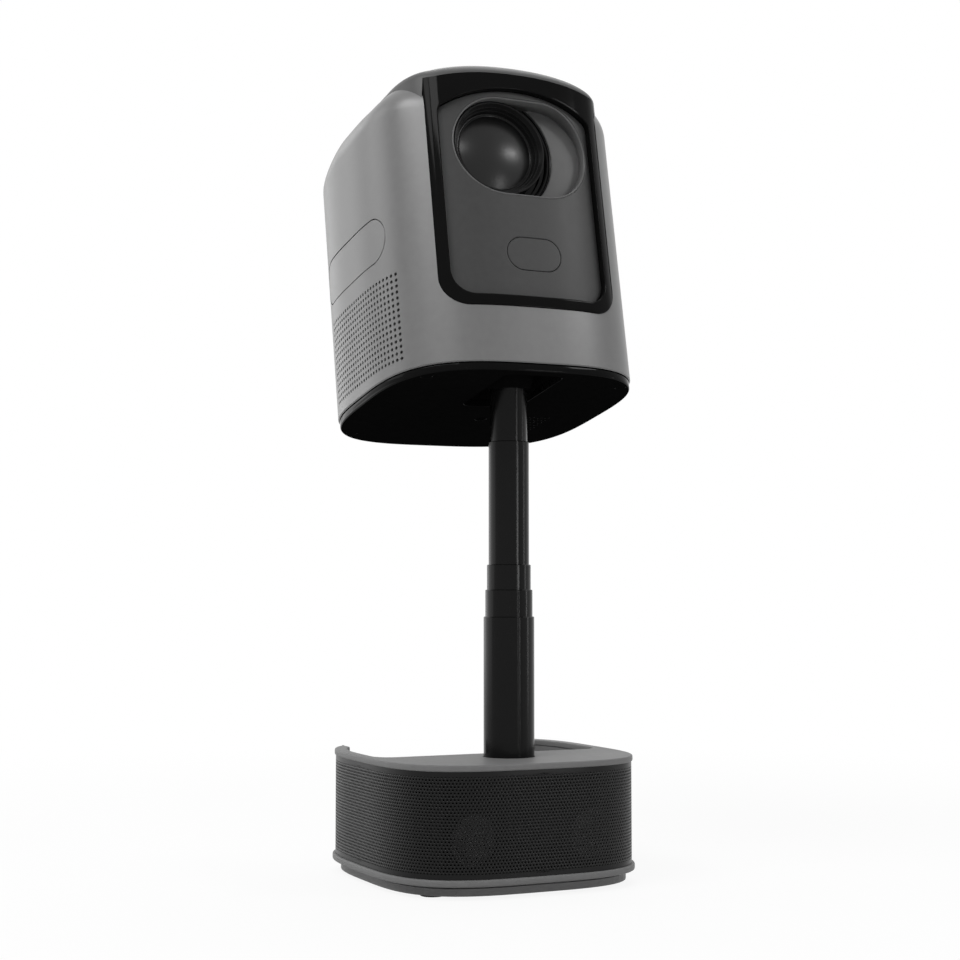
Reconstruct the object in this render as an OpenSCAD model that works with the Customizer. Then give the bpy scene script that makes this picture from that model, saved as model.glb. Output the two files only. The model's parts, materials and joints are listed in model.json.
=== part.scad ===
// Video projector: a tilting head on a telescopic mast that stands on a speaker base
// Millimetres, Z up, front towards -Y, origin on the floor under the middle of the whole

/* [Base] */
// Width of the base over its grille
base_w = 150; // [146:1:170]
// Depth of the base over its grille
base_d = 159; // [156:1:180]
// Roundness exponent of the base outline
base_round = 3.4; // [3:0.1:4]
// Height of the grille
grille_h = 56.5; // [54:0.5:70]
// Thickness of the deck on top of the base
deck_t = 3.4; // [2.5:0.1:5]
// Height of the floor of the rear bay
bay_floor = 24; // [22:1:40]
// Diameter of one foot
foot_d = 14; // [10:1:18]
// Centre height of the two speaker drivers
speaker_z = 30; // [30:1:40]
// Distance of the middle of the base in front of the origin
base_front = 11; // [0:0.5:20]

/* [Mast] */
// Distance of the mast in front of the middle of the base
mast_front = 37; // [35:0.5:40]
// Outer diameter of the lowest mast tube
mast_od = 28.4; // [27:0.1:30]
// Drop in diameter from one mast tube to the next
mast_step = 1.9; // [1.7:0.05:2]
// Length of the lowest tube above the deck
tube_1_show = 77.6; // [70:0.1:90]
// Length of the second tube that shows
tube_2_show = 15; // [10:0.5:40]
// Length of the third tube that shows
tube_3_show = 14; // [10:0.5:40]
// Length of the fourth tube that shows
tube_4_show = 69; // [40:0.5:80]
// Length of the fifth tube that shows below the neck
tube_5_show = 29.8; // [20:0.1:50]

/* [Head] */
// Width of the head
head_w = 153; // [150:1:160]
// Depth of the head
head_d = 155; // [152:1:162]
// Roundness exponent of the head outline
head_round = 3.32; // [3.2:0.02:3.6]
// Height of the shell at its rear
shell_h = 163.5; // [162:0.5:172]
// Rise of the roof from the rear to the hood
crown_rise = 4.5; // [0:0.5:6]
// Further rise of the roof towards the front
shoulder_rise = 3; // [0:0.5:4]
// Wall of the shell
shell_wall = 2.4; // [2:0.1:3]
// Backward tilt of the head
head_tilt = 11.1; // [0:0.1:20]
// Diameter of the tilt pin
pin_d = 6; // [5:0.5:7]

/* [Front] */
// Width of the front bezel
bezel_w = 108; // [106:1:110]
// Bottom edge of the bezel above the edge of the shell
bezel_bottom = 32; // [28:1:34]
// Rise of the hood above the shell
hood_rise = 14; // [13:0.5:17]
// Width of the panel inside the bezel
panel_w = 95; // [94:1:97]
// Radius of the round ends of the lens opening
well_r = 29.5; // [29:0.1:30]
// Sideways place of the lens
lens_x = -10.2; // [-11:0.1:-9]
// Drop of the lens below the top of the shell
lens_drop = 35; // [34.5:0.1:36.5]
// Diameter of the front lens
glass_d = 44.4; // [42:0.1:46]

/* [Hidden] */
$fn = 64;

// Angle between two points of a squircle outline
outline_step = 4;
// Play between fixed neighbours, and running clearance of sliding and turning fits
seam = 0.15;
run = 0.1;
pin_run = 0.05;
// Amount by which a cutting shape overshoots
over = 1;

// Heights of the base from the floor up
foot_h = 2;
pan_h = 4;
groove_h = 1.4;
web_h = 1.2;
flange_h = 3.6;
groove_z = foot_h + pan_h;
flange_z = groove_z + groove_h;
body_z = flange_z + web_h;
grille_z = flange_z + flange_h;
deck_z = grille_z + grille_h;
deck_top = deck_z + deck_t;
bay_wall = 3;
lower_roof = bay_floor - bay_wall;

// Plan of the base
base_hw = base_w / 2;
base_hd = base_d / 2;
grille_t = 0.8;
grille_end = 2;
body_inset = 1.1;
flange_out = 1.5;
deck_out = 0.6;
pan_inset = 3;
groove_inset = 4.5;
web_inset = 8;
wall_inset = 6;
bay_front = -15;
bay_corner = 10;
gate_inset = 17;
bay_gate = base_hw - gate_inset;
bay_gate_y = 40;
foot_inset = [23, 29.5];
foot_x = base_hw - foot_inset[0];
foot_y = base_hd - foot_inset[1];

// Speaker box in the front of the base
box_floor = 11.5;
box_inset = 3;
box_back = bay_front - bay_wall;
baffle_front = 10.5;
baffle_t = 3;
window_side = 19;
window_w = base_w - 2 * window_side;
window_margin = 3;
speaker_inset = 39;
speaker_x = base_hw - speaker_inset;
speaker_hole_r = 14;
speaker_mouth_r = speaker_hole_r + seam;
speaker_rim_w = 3.5;
speaker_rim_t = 1.6;
basket_r = 8.4;
basket_wall = 1.2;
basket_deep = 12;
cone_edge = 0.6;
cone_t = 0.8;
cone_dish = 7.6;
dust_cap_r = 3.6;
surround_w = 1.8;
magnet_r = 12;
magnet_t = 10;
baffle_y = -base_hd + baffle_front + baffle_t;

// Screws of the base
screw_d = 3;
screw_head_d = 6;
screw_head_h = 2;
flat_head_h = 1;
boss_r = 4;
front_screw_inset = 23;
rear_screw_inset = 29;
front_screw = [base_hw - front_screw_inset, -30];
rear_screw = [base_hw - rear_screw_inset, 34];
screw_tip = 18;

// Weight and amplifier under the floor of the bay
counter_side = 37;
counter_end = 17.5;
counter_w = base_w - 2 * counter_side;
counter_y = [20, base_hd - counter_end];
amp_side = 40;
amp_w = base_w - 2 * amp_side;
amp_y = [-10, 12];
amp_post_r = 2.5;
amp_post_in = 4.5;
amp_chip = [10, 10, 5];
amp_chip_x = [-20, 0, 18];
board_t = 1.6;

// Mast
mast_y = -base_front - mast_front;
tube_wall = mast_step / 2 - run;
tube_len = 118;
tube_foot = 14;
flute_w = 2;
flute_deep = 0.4;
key_play = 0.15;
key_h = 10;
socket_wall = 2.8;
socket_r = mast_od / 2 + socket_wall;
socket_top = 64;
socket_plate = [44, 34, tube_foot - box_floor];
tube_top = [
    deck_top + tube_1_show,
    deck_top + tube_1_show + tube_2_show,
    deck_top + tube_1_show + tube_2_show + tube_3_show,
    deck_top + tube_1_show + tube_2_show + tube_3_show + tube_4_show,
    deck_top + tube_1_show + tube_2_show + tube_3_show + tube_4_show + tube_5_show
];

// Neck and tilt hinge
neck_z = tube_top[4];
neck_grip = 5;
neck_h = 10;
neck_r1 = 12.4;
neck_r2 = 14.6;
pivot_up = 16.4;
pivot_z = neck_z + pivot_up;
tongue_r = 10;
tongue_w = 13;
ear_gap = 0.3;
ear_clear = 0.5;
ear_t = 3;
washer_t = 1.4;
pin_head_t = 2;
nut_t = 3;
pin_head_r = 5;
washer_r = 5.5;
ear_r = pivot_up - neck_h - ear_clear;
ear_x = tongue_w / 2 + ear_gap;
washer_x = ear_x + ear_t;
stack_x = washer_x + washer_t;

// Head frame: its origin is the middle of the plane of the shell's lower edge
head_hw = head_w / 2;
head_hd = head_d / 2;
pivot_y = -38.4;
pivot_s = 14;
shell_edge = 20;
shell_edge_steps = 6;
roof_s = shell_h - shell_wall;
boss_inset = [16.5, 20.5];
boss_x = head_hw - boss_inset[0];
boss_y = head_hd - boss_inset[1];
head_boss_r = 4.5;
head_boss_h = 16;

// Bottom plate and tilt pocket
plate_inset = 0.8;
plate_low = -4.6;
plate_t = 2.6;
plate_top = plate_low + plate_t;
lip_t = 3;
pocket_hw = 18;
pocket_margin = 8.1;
pocket_run = 29.5;
pocket_front = -head_hd + pocket_margin;
pocket_back = pivot_y + pocket_run;
pocket_wall = 1.5;
pocket_top = 28;
bridge_t = 3;
sink_post_r = 3;

// Bezel, panel and lens opening
bezel_proud = 0.6;
bezel_deep = 15.5;
bezel_back = -head_hd + bezel_deep;
bezel_corner = 16;
bezel_top_corner = 13;
bezel_rise = 5.5;
bezel_top = shell_h + bezel_rise;
hood_top = shell_h + hood_rise;
hood_hw = 63;
hood_round = 5;
hood_crown_r = 400;
hood_shoulder = 8;
hood_chamfer = 8;
hood_front = head_hd + bezel_proud;
hood_flat_y = -35;
hood_back = 15;
hood_wall = 2.4;
hood_tail = 6.5;
skirt_deep = 15.5;
skirt_s = shell_h - skirt_deep;
crown_run = [-3, 23];
crown_top = hood_back + crown_run[0];
crown_foot = hood_back + crown_run[1];
shoulder_inset = [27.5, 44.5];
shoulder_top = -head_hd + shoulder_inset[0];
shoulder_foot = -head_hd + shoulder_inset[1];
panel_bottom = 38.5;
panel_corner = 13;
panel_drop = 1.5;
panel_top = shell_h - panel_drop;
panel_arch_r = 90;
panel_sink = 3;
panel_t = 2;
well_run = 25.5;
well_x2 = lens_x + well_run;
well_wall = 1.4;
well_deep = 13.5;
well_floor_t = 1.5;
well_floor_y = -head_hd + well_deep;
well_back = well_floor_y + well_floor_t;
well_hole_r = 36;
pill_x = 3.5;
pill_s = 64.4;
pill_w = 33;
pill_h = 19;

// Lens
lens_s = shell_h - lens_drop;
ring_gap = 1.5;
ring_inset = 6.5;
ring_deep = 13;
ring_r = well_r - ring_gap;
ring_front = -head_hd + ring_inset;
ring_back = ring_front + ring_deep;
glass_inset = 7;
glass_y = ring_front + glass_inset;
glass_bulge = 5;
glass_t = 4;
focus_r = 25;
focus_len = 47;
focus_back = ring_front + focus_len;
rear_lens_r = 20;
rear_lens_inset = 10;
rear_lens_y = focus_back - rear_lens_inset;
rear_lens_t = 5;
barrel_gap = 8;
barrel_front = ring_back + barrel_gap;
barrel_back = focus_back + barrel_gap;
barrel_wall = 2.3;
barrel_flange_r = 29;
barrel_flange_t = 2;
motor_right = 34.2;
motor_drop = 22.5;
motor_inset = 10;
motor_len = 16;
motor_x = lens_x + motor_right;
motor_s = lens_s - motor_drop;
motor_r = 7;
motor_front = barrel_front + motor_inset;
motor_back = motor_front + motor_len;
screw_r = 1.5;
screw_gap = 0.5;
screw_front = well_back + screw_gap;
lug_t = 3;
lug_w = 8;

// Light path
engine_x = lens_x;
housing_w = 92;
housing_end = 17.5;
housing_rise = 23.5;
housing_x = [engine_x - housing_w / 2, engine_x + housing_w / 2];
housing_y = [barrel_back, head_hd - housing_end];
housing_s = [58, lens_s + housing_rise];
engine_y = (housing_y[0] + housing_y[1]) / 2;
housing_t = 2;
lens_hole_r = 23;
mirror_sum = lens_s + engine_y;
mirror_t = 3;
mirror_top_y = mirror_sum - housing_s[1];
sheet_t = 2;
upper_s = 74;
lcd_s = 68;
lower_s = 62;
cone_inset = 5;
cone_top_r = (housing_y[1] - housing_y[0]) / 2 - cone_inset;
cone_low_r = 10;
cone_wall = 1.5;
led_s = 29;
led_r = 16;
led_t = 2;
led_dome_r = 5;
led_dome_h = 4;
sink_w = 60;
sink_d = 54;
sink_low = 10;
sink_base_t = 5;
sink_fins = 9;
fin_t = 1.6;
sink_post_x = sink_w / 2 - sink_post_r;
sink_post_y = sink_d / 2 - sink_post_r;

// Fan
fan_inset = 6.5;
fan_t = 10;
fan_x = [-head_hw + fan_inset, -head_hw + fan_inset + fan_t];
fan_size = 50;
fan_y = -13;
fan_r = 23;
fan_hub_r = 9;
fan_blades = 7;
fan_axle_r = 1;
axle_inset = 2;
fan_axle_tip = fan_x[0] + axle_inset;
fan_back_t = 1.5;
fan_spoke_w = 3;
hub_inset = [1, 0.6];
fan_hub_x = [fan_x[0] + hub_inset[0], fan_x[1] - hub_inset[1]];
fan_tip_gap = 1.2;
blade_w = 8;
blade_t = 1.2;
blade_pitch = 40;
fan_s = plate_top + fan_size / 2;

// Vents
vent_d = 2.4;
vent_pitch = 6.9;
vent_cols = 12;
vent_rows = 7;
vent_y = -46;
vent_s = 10;
under_vent = [26, 8];
under_cols = 5;
under_rows = 6;
under_pitch = 5;

// Side cover
cover_y = [-44, 46];
cover_s = [60, 97];
cover_t = 1;
cover_gap = 0.25;

// Boards, ports and button
board_inset = 18.5;
board_x = head_hw - board_inset;
board_y = [-38, 38];
board_top = 110;
chip_s = [24, 52, 84];
chip_size = [3, 26, 20];
chip_y = -18;
io_w = 56;
io_s = [28, 60];
io_t = 2;
io_inset = 3.6;
io_y = head_hd - io_inset;
hdmi_at = [-12, 44];
hdmi_size = [15, 12, 6];
usb_at = [10, 44];
usb_size = [13, 14, 6];
port_rim = 0.8;
port_back = 2;
inlet_at = [6, 16];
inlet_r = 5.5;
inlet_bore_r = 3.2;
inlet_pin_r = 1;
inlet_h = 10;
inlet_end = 1;
inlet_deep = inlet_h - inlet_end;
button_inset = 27.5;
button_y = head_hd - button_inset;
button_r = 7;
button_cap_up = 0.8;
button_flange_r = 8.4;
button_flange_t = 1.2;
button_travel = 1;
switch_r = 3;
switch_h = 1.6;
button_board_size = [30, 16];
hanger_r = 2;
hanger_inset = 3;
hanger_x = button_board_size[0] / 2 - hanger_inset;
switch_top = roof_s - button_flange_t - button_travel - 2 * seam;
hanger_h = roof_s - switch_top + switch_h;

// Outline and placing helpers

// Points of a squircle with half width hw, half depth hd and exponent n
function squircle(hw, hd, n) = [
    for (a = [0 : outline_step : 360 - outline_step])
        let (r = 1 / pow(pow(abs(cos(a)) / hw, n) + pow(abs(sin(a)) / hd, n), 1 / n))
            [r * cos(a), r * sin(a)]
];

module base_outline(inset) {
    polygon(squircle(base_hw - inset, base_hd - inset, base_round));
}

module head_outline(inset) {
    polygon(squircle(head_hw - inset, head_hd - inset, head_round));
}

// Puts a piece drawn round the middle of the base in its place
module on_base() {
    translate([0, -base_front, 0]) children();
}

module layer(z0, z1) {
    translate([0, 0, z0]) linear_extrude(z1 - z0) children();
}

// Puts a piece drawn in the head frame on the tilted head
module on_head() {
    translate([0, mast_y, pivot_z]) rotate([-head_tilt, 0, 0]) translate([0, -pivot_y, -pivot_s]) children();
}

// Extrudes a front view (x, height) along the depth from y0 to y1
module front_prism(y0, y1) {
    translate([0, y1, 0]) rotate([90, 0, 0]) linear_extrude(y1 - y0) children();
}

// Extrudes a side view (depth, height) along the width from x0 to x1
module side_prism(x0, x1) {
    translate([x0, 0, 0]) rotate([90, 0, 90]) linear_extrude(x1 - x0) children();
}

module box(x, y, z) {
    translate([x[0], y[0], z[0]]) cube([x[1] - x[0], y[1] - y[0], z[1] - z[0]]);
}

// A round bar along the depth axis of the head
module rod_y(x, s, r, y0, y1) {
    translate([x, y1, s]) rotate([90, 0, 0]) cylinder(r = r, h = y1 - y0);
}

// A round bar along the tilt axis
module rod_x(r, x0, x1) {
    translate([x0, 0, 0]) rotate([0, 90, 0]) cylinder(r = r, h = x1 - x0);
}

// A rectangle from low to high with its own bottom and top corner radii
module soft_rect(w, low, high, r_low, r_high) {
    translate([-w / 2, low + r_low]) square([w, high - low - r_low - r_high]);
    for (side = [-1, 1]) {
        translate([side * (w / 2 - r_low), low + r_low]) circle(r_low);
        translate([side * (w / 2 - r_high), high - r_high]) circle(r_high);
    }
    translate([-w / 2 + r_low, low]) square([w - 2 * r_low, r_low]);
    translate([-w / 2 + r_high, high - r_high]) square([w - 2 * r_high, r_high]);
}

// A pill from x0 to x1 with round ends
module pill(x0, x1, y, r) {
    translate([x0, y]) circle(r);
    translate([x1, y]) circle(r);
    translate([x0, y - r]) square([x1 - x0, 2 * r]);
}

// A prism with the head outline whose top edge is rounded in steps and rises towards the front
module head_block(inset, low, top, edge) {
    step = 90 / shell_edge_steps;
    for (i = [0 : shell_edge_steps - 1]) {
        rear = top - edge + edge * sin((i + 1) * step);
        crown = rear + crown_rise;
        front = crown + shoulder_rise;
        intersection() {
            layer(low, front) head_outline(inset + edge * (1 - cos((i + 0.5) * step)));
            side_prism(-head_w, head_w) polygon([
                [-head_d, low],
                [head_d, low],
                [head_d, rear],
                [crown_foot, rear],
                [crown_top, crown],
                [shoulder_foot, crown],
                [shoulder_top, front],
                [-head_d, front]
            ]);
        }
    }
}

// Base

module base_bay() {
    bay_corner_x = base_hw - wall_inset - bay_corner;
    intersection() {
        base_outline(wall_inset);
        union() {
            translate([-base_hw, bay_front + bay_corner]) square([base_w, base_d]);
            pill(-bay_corner_x, bay_corner_x, bay_front + bay_corner, bay_corner);
        }
    }
    translate([-bay_gate, bay_gate_y]) square([2 * bay_gate, base_d]);
}

module at_base_screws() {
    for (side = [-1, 1], p = [front_screw, rear_screw])
        translate([side * p[0], p[1], 0]) children();
}

module base_pan() {
    color("dimgray") on_base() {
        difference() {
            union() {
                layer(foot_h, groove_z) base_outline(pan_inset);
                layer(groove_z, flange_z) base_outline(groove_inset);
            }
            at_base_screws() {
                cylinder(d = screw_d + 2 * run, h = flange_z + over);
                cylinder(d = screw_head_d + 2 * run, h = foot_h + screw_head_h);
            }
        }
        for (x = [-1, 1], y = amp_y + [amp_post_in, -amp_post_in])
            translate([x * (amp_w / 2 - amp_post_in), y, flange_z]) cylinder(r = amp_post_r, h = board_t);
    }
}

module base_flange() {
    color("gray") on_base() {
        layer(flange_z, body_z) difference() {
            base_outline(-flange_out);
            base_outline(web_inset);
        }
        layer(body_z, grille_z) difference() {
            base_outline(-flange_out);
            base_outline(body_inset - run);
        }
    }
}

module base_body() {
    color([0.08, 0.08, 0.08]) on_base() difference() {
        union() {
            difference() {
                layer(body_z, deck_z) base_outline(body_inset);
                layer(bay_floor, deck_top) base_bay();
                layer(box_floor, deck_top) intersection() {
                    base_outline(box_inset);
                    translate([-base_hw, baffle_y]) square([base_w, box_back - baffle_y]);
                }
                layer(body_z - over, lower_roof) intersection() {
                    base_outline(wall_inset);
                    translate([-base_hw, bay_front + bay_wall]) square([base_w, base_d]);
                }
                box([-window_w / 2, window_w / 2], [-base_d, -base_hd + baffle_front],
                    [grille_z + window_margin, deck_z - window_margin]);
                for (side = [-1, 1])
                    rod_y(side * speaker_x, speaker_z, speaker_hole_r, -base_hd, baffle_y + over);
            }
            at_base_screws() translate([0, 0, body_z]) cylinder(r = boss_r, h = lower_roof - body_z);
        }
        at_base_screws() cylinder(d = screw_d + 2 * pin_run, h = screw_tip + over);
    }
}

module base_grille() {
    color([0.05, 0.05, 0.05]) on_base() layer(grille_z, deck_z) difference() {
        base_outline(0);
        base_outline(grille_t);
        translate([-bay_gate - grille_end, 0]) square([2 * (bay_gate + grille_end), base_d]);
    }
}

module base_deck() {
    color("darkgray") on_base() difference() {
        layer(deck_z, deck_top) difference() {
            base_outline(-deck_out);
            base_bay();
        }
        translate([0, -mast_front, deck_z - over]) cylinder(d = mast_od + 2 * seam, h = deck_t + 2 * over);
    }
}

module base_feet() {
    color([0.06, 0.06, 0.06]) on_base()
        for (x = [-foot_x, foot_x], y = [-foot_y, foot_y])
            translate([x, y, 0]) cylinder(d = foot_d, h = foot_h);
}

module base_screws() {
    color("silver") on_base() at_base_screws() {
        translate([0, 0, foot_h]) cylinder(d = screw_head_d, h = screw_head_h);
        translate([0, 0, foot_h]) cylinder(d = screw_d, h = screw_tip - foot_h);
    }
}

// Places a driver profile with its axis along the depth, mouth on the baffle
module at_speakers() {
    for (side = [-1, 1])
        translate([side * speaker_x, baffle_y, speaker_z]) rotate([-90, 0, 0]) rotate_extrude() children();
}

module speaker_frames() {
    color([0.2, 0.2, 0.2]) on_base() at_speakers()
        polygon([
            [speaker_mouth_r, 0],
            [speaker_hole_r + speaker_rim_w, 0],
            [speaker_hole_r + speaker_rim_w, speaker_rim_t],
            [speaker_mouth_r + basket_wall, speaker_rim_t],
            [basket_r + basket_wall, basket_deep],
            [basket_r, basket_deep],
            [speaker_mouth_r, speaker_rim_t]
        ]);
}

module speaker_cones() {
    cone_r = speaker_mouth_r - pin_run;
    color([0.12, 0.12, 0.13]) on_base() at_speakers()
        polygon([
            [0, cone_dish - cone_t],
            [dust_cap_r, cone_dish],
            [cone_r - surround_w, cone_edge],
            [cone_r, cone_edge],
            [cone_r, cone_edge + cone_t],
            [cone_r - surround_w + cone_t, cone_edge + cone_t],
            [dust_cap_r + cone_t, cone_dish + cone_t],
            [0, cone_dish]
        ]);
}

module speaker_magnets() {
    color("slategray") on_base() at_speakers() translate([0, basket_deep]) square([magnet_r, magnet_t]);
}

module counterweight() {
    color("darkslategray") on_base()
        box([-counter_w / 2, counter_w / 2], counter_y, [flange_z, lower_roof - over]);
}

module amplifier_board() {
    z = flange_z + board_t;
    color("darkgreen") on_base() box([-amp_w / 2, amp_w / 2], amp_y, [z, z + board_t]);
    color("black") on_base() for (x = amp_chip_x)
        translate([x - amp_chip[0] / 2, (amp_y[0] + amp_y[1] - amp_chip[1]) / 2, z + board_t]) cube(amp_chip);
}

// Mast

module mast_socket() {
    color([0.15, 0.15, 0.16]) translate([0, mast_y, 0]) difference() {
        union() {
            translate([0, 0, box_floor]) cylinder(r = socket_r, h = socket_top - box_floor);
            translate([-socket_plate[0] / 2, -socket_plate[1] / 2, box_floor]) cube(socket_plate);
        }
        translate([0, 0, tube_foot]) cylinder(d = mast_od + 2 * pin_run, h = socket_top);
    }
}

// Tube number i of the mast, with an outer flute and the key that runs in the next tube's flute
module mast_tube(i) {
    od = mast_od - i * mast_step;
    id = od - 2 * tube_wall;
    low = i == 0 ? tube_foot : tube_top[i] - tube_len + (i == 4 ? neck_grip : 0);
    top = tube_top[i] + (i == 4 ? neck_grip : 0);
    color([0.07, 0.07, 0.07]) translate([0, mast_y, 0]) {
        difference() {
            translate([0, 0, low]) cylinder(d = od, h = top - low);
            translate([0, 0, low - over]) cylinder(d = id, h = top - low + 2 * over);
            translate([-flute_w / 2, -od / 2 - over, low - over])
                cube([flute_w, over + flute_deep, top - low + 2 * over]);
        }
        if (i < 4)
            translate([-flute_w / 2 + key_play, -id / 2 - run, top - key_h])
                cube([flute_w - 2 * key_play, 2 * run + flute_deep - key_play, key_h]);
    }
}

module mast_tube_1() { mast_tube(0); }
module mast_tube_2() { mast_tube(1); }
module mast_tube_3() { mast_tube(2); }
module mast_tube_4() { mast_tube(3); }
module mast_tube_5() { mast_tube(4); }

// Tilt hinge

module neck_knuckle() {
    grip_r = mast_od / 2 - 2 * mast_step;
    color([0.09, 0.09, 0.09]) translate([0, mast_y, 0]) difference() {
        union() {
            translate([0, 0, neck_z]) cylinder(r1 = neck_r1, r2 = neck_r2, h = neck_h);
            translate([-tongue_w / 2, -tongue_r, neck_z + neck_h])
                cube([tongue_w, 2 * tongue_r, pivot_up - neck_h]);
            translate([0, 0, pivot_z]) rod_x(tongue_r, -tongue_w / 2, tongue_w / 2);
        }
        translate([0, 0, neck_z - over]) cylinder(r = grip_r + pin_run, h = neck_grip + over);
        translate([0, 0, pivot_z]) rod_x(pin_d / 2 + pin_run, -tongue_w, tongue_w);
    }
}

// Puts a piece drawn round the tilt axis in its place in the head
module on_pivot() {
    on_head() translate([0, pivot_y, pivot_s]) children();
}

module tilt_bracket() {
    bridge_hw = pocket_hw + pocket_wall;
    color("gray") on_head() {
        for (side = [0, 1]) mirror([side, 0, 0]) difference() {
            union() {
                translate([0, pivot_y, pivot_s]) rod_x(ear_r, ear_x, washer_x);
                box([ear_x, washer_x], [pivot_y - ear_r, pivot_y + ear_r], [pivot_s, pocket_top]);
            }
            translate([0, pivot_y, pivot_s]) rod_x(pin_d / 2 + pin_run, 0, washer_x + over);
        }
        box([-bridge_hw, bridge_hw], [pocket_front - pocket_wall, pocket_back + pocket_wall],
            [pocket_top, pocket_top + bridge_t]);
    }
}

module tilt_pin() {
    color("silver") on_pivot() {
        rod_x(pin_d / 2, -stack_x, stack_x + nut_t);
        rod_x(pin_head_r, -stack_x - pin_head_t, -stack_x);
    }
}

module tilt_washers() {
    color("dimgray") on_pivot()
        for (side = [0, 1]) mirror([side, 0, 0]) difference() {
            rod_x(washer_r, washer_x, stack_x);
            rod_x(pin_d / 2 + pin_run, washer_x - over, stack_x + over);
        }
}

module tilt_nut() {
    color("silver") on_pivot() difference() {
        translate([stack_x, 0, 0]) rotate([0, 90, 0]) cylinder(r = pin_head_r, h = nut_t, $fn = 6);
        rod_x(pin_d / 2 + pin_run, stack_x - over, stack_x + nut_t + over);
    }
}

// Front views of the bezel, the panel and the lens opening

module bezel_view(grow) {
    soft_rect(bezel_w + 2 * grow, bezel_bottom - grow, bezel_top + grow,
              bezel_corner + grow, bezel_top_corner + grow);
}

module panel_view(grow) {
    intersection() {
        soft_rect(panel_w + 2 * grow, panel_bottom - grow, panel_top + grow,
                  panel_corner + grow, panel_corner + grow);
        translate([0, panel_top - panel_arch_r]) circle(panel_arch_r + grow);
    }
}

module well_view(grow) {
    pill(lens_x, well_x2, lens_s, well_r + grow);
}

module ir_view(grow) {
    pill(pill_x - pill_w / 2 + pill_h / 2, pill_x + pill_w / 2 - pill_h / 2, pill_s, pill_h / 2 + grow);
}

module cover_view(grow) {
    r = (cover_s[1] - cover_s[0]) / 2;
    pill(cover_y[0] + r, cover_y[1] - r, cover_s[0] + r, r + grow);
}

// The hood's outer form, or its hollow with a negative grow: plan, front and side view together
module hood_form(grow, low) {
    intersection() {
        layer(low, hood_top) intersection() {
            polygon(squircle(hood_hw + grow, hood_front + grow, hood_round));
            translate([-head_w, -head_d]) square([2 * head_w, head_d + hood_back + grow]);
        }
        front_prism(-head_d, head_d) intersection() {
            soft_rect(2 * (hood_hw + grow), 0, hood_top + grow, hood_shoulder, hood_shoulder);
            translate([0, hood_top - hood_crown_r]) circle(hood_crown_r + grow, $fn = 200);
        }
        side_prism(-head_w, head_w) polygon([
            [-hood_front - over, 0],
            [-hood_front - over, hood_top - hood_chamfer - over + grow],
            [-hood_front + hood_chamfer, hood_top + grow],
            [hood_flat_y, hood_top + grow],
            [hood_back + grow, shell_h + hood_tail + grow],
            [hood_back + grow, 0]
        ]);
    }
}

// Casing of the head

module at_bottom_screws() {
    for (x = [-boss_x, boss_x], y = [-boss_y, boss_y])
        translate([x, y, 0]) children();
}

module vent_holes() {
    for (i = [0 : vent_cols - 1], j = [0 : vent_rows - 1])
        translate([vent_y + i * vent_pitch, vent_s + j * vent_pitch]) circle(d = vent_d);
}

module head_shell() {
    color([0.5, 0.5, 0.51]) on_head() difference() {
        union() {
            difference() {
                head_block(0, 0, shell_h, shell_edge);
                head_block(shell_wall, -over, roof_s, shell_edge - shell_wall);
            }
            intersection() {
                at_bottom_screws() cylinder(r = head_boss_r, h = head_boss_h);
                layer(0, head_boss_h) head_outline(shell_wall / 2);
            }
            for (x = [-hanger_x, hanger_x])
                translate([x, button_y, roof_s - hanger_h]) cylinder(r = hanger_r, h = hanger_h);
        }
        front_prism(-head_d, bezel_back + seam) bezel_view(seam);
        hood_form(seam, skirt_s - seam);
        side_prism(-head_w, head_w) vent_holes();
        intersection() {
            side_prism(-head_w, 0) cover_view(cover_gap);
            difference() {
                layer(0, shell_h) head_outline(-over);
                layer(-over, shell_h + over) head_outline(cover_t);
            }
        }
        box([-io_w / 2 - seam, io_w / 2 + seam], [0, head_d], [io_s[0] - seam, io_s[1] + seam]);
        translate([0, button_y, roof_s - over]) cylinder(r = button_r + run, h = shell_wall + 2 * over);
        at_bottom_screws() translate([0, 0, -over]) cylinder(d = screw_d + 2 * pin_run, h = head_boss_h);
    }
}

module bottom_plate() {
    color([0.05, 0.05, 0.05]) on_head() difference() {
        union() {
            layer(plate_low, plate_top) head_outline(plate_inset);
            layer(plate_top, -seam) difference() {
                head_outline(plate_inset);
                head_outline(plate_inset + lip_t);
            }
            box([-pocket_hw - pocket_wall, pocket_hw + pocket_wall],
                [pocket_front - pocket_wall, pocket_back + pocket_wall], [plate_low, pocket_top]);
            for (x = [-1, 1], y = [-1, 1])
                translate([engine_x + x * sink_post_x, engine_y + y * sink_post_y, plate_low])
                    cylinder(r = sink_post_r, h = sink_low - plate_low);
        }
        box([-pocket_hw, pocket_hw], [pocket_front, pocket_back], [plate_low - over, pocket_top + over]);
        for (i = [0 : under_cols - 1], j = [0 : under_rows - 1])
            translate([under_vent[0] + i * under_pitch, under_vent[1] + j * under_pitch, plate_low - over])
                cylinder(d = vent_d, h = plate_t + 2 * over);
        translate([inlet_at[0], inlet_at[1], plate_low - over])
            cylinder(r = inlet_bore_r + run, h = plate_t + 2 * over);
        at_bottom_screws() translate([0, 0, plate_low - over]) {
            cylinder(d = screw_d + 2 * run, h = 2 * over - plate_low);
            cylinder(d = screw_head_d + 2 * run, h = flat_head_h + over);
        }
    }
}

module bottom_screws() {
    color("silver") on_head() at_bottom_screws() translate([0, 0, plate_low]) {
        cylinder(d = screw_head_d, h = flat_head_h);
        cylinder(d = screw_d, h = head_boss_h);
    }
}

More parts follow.
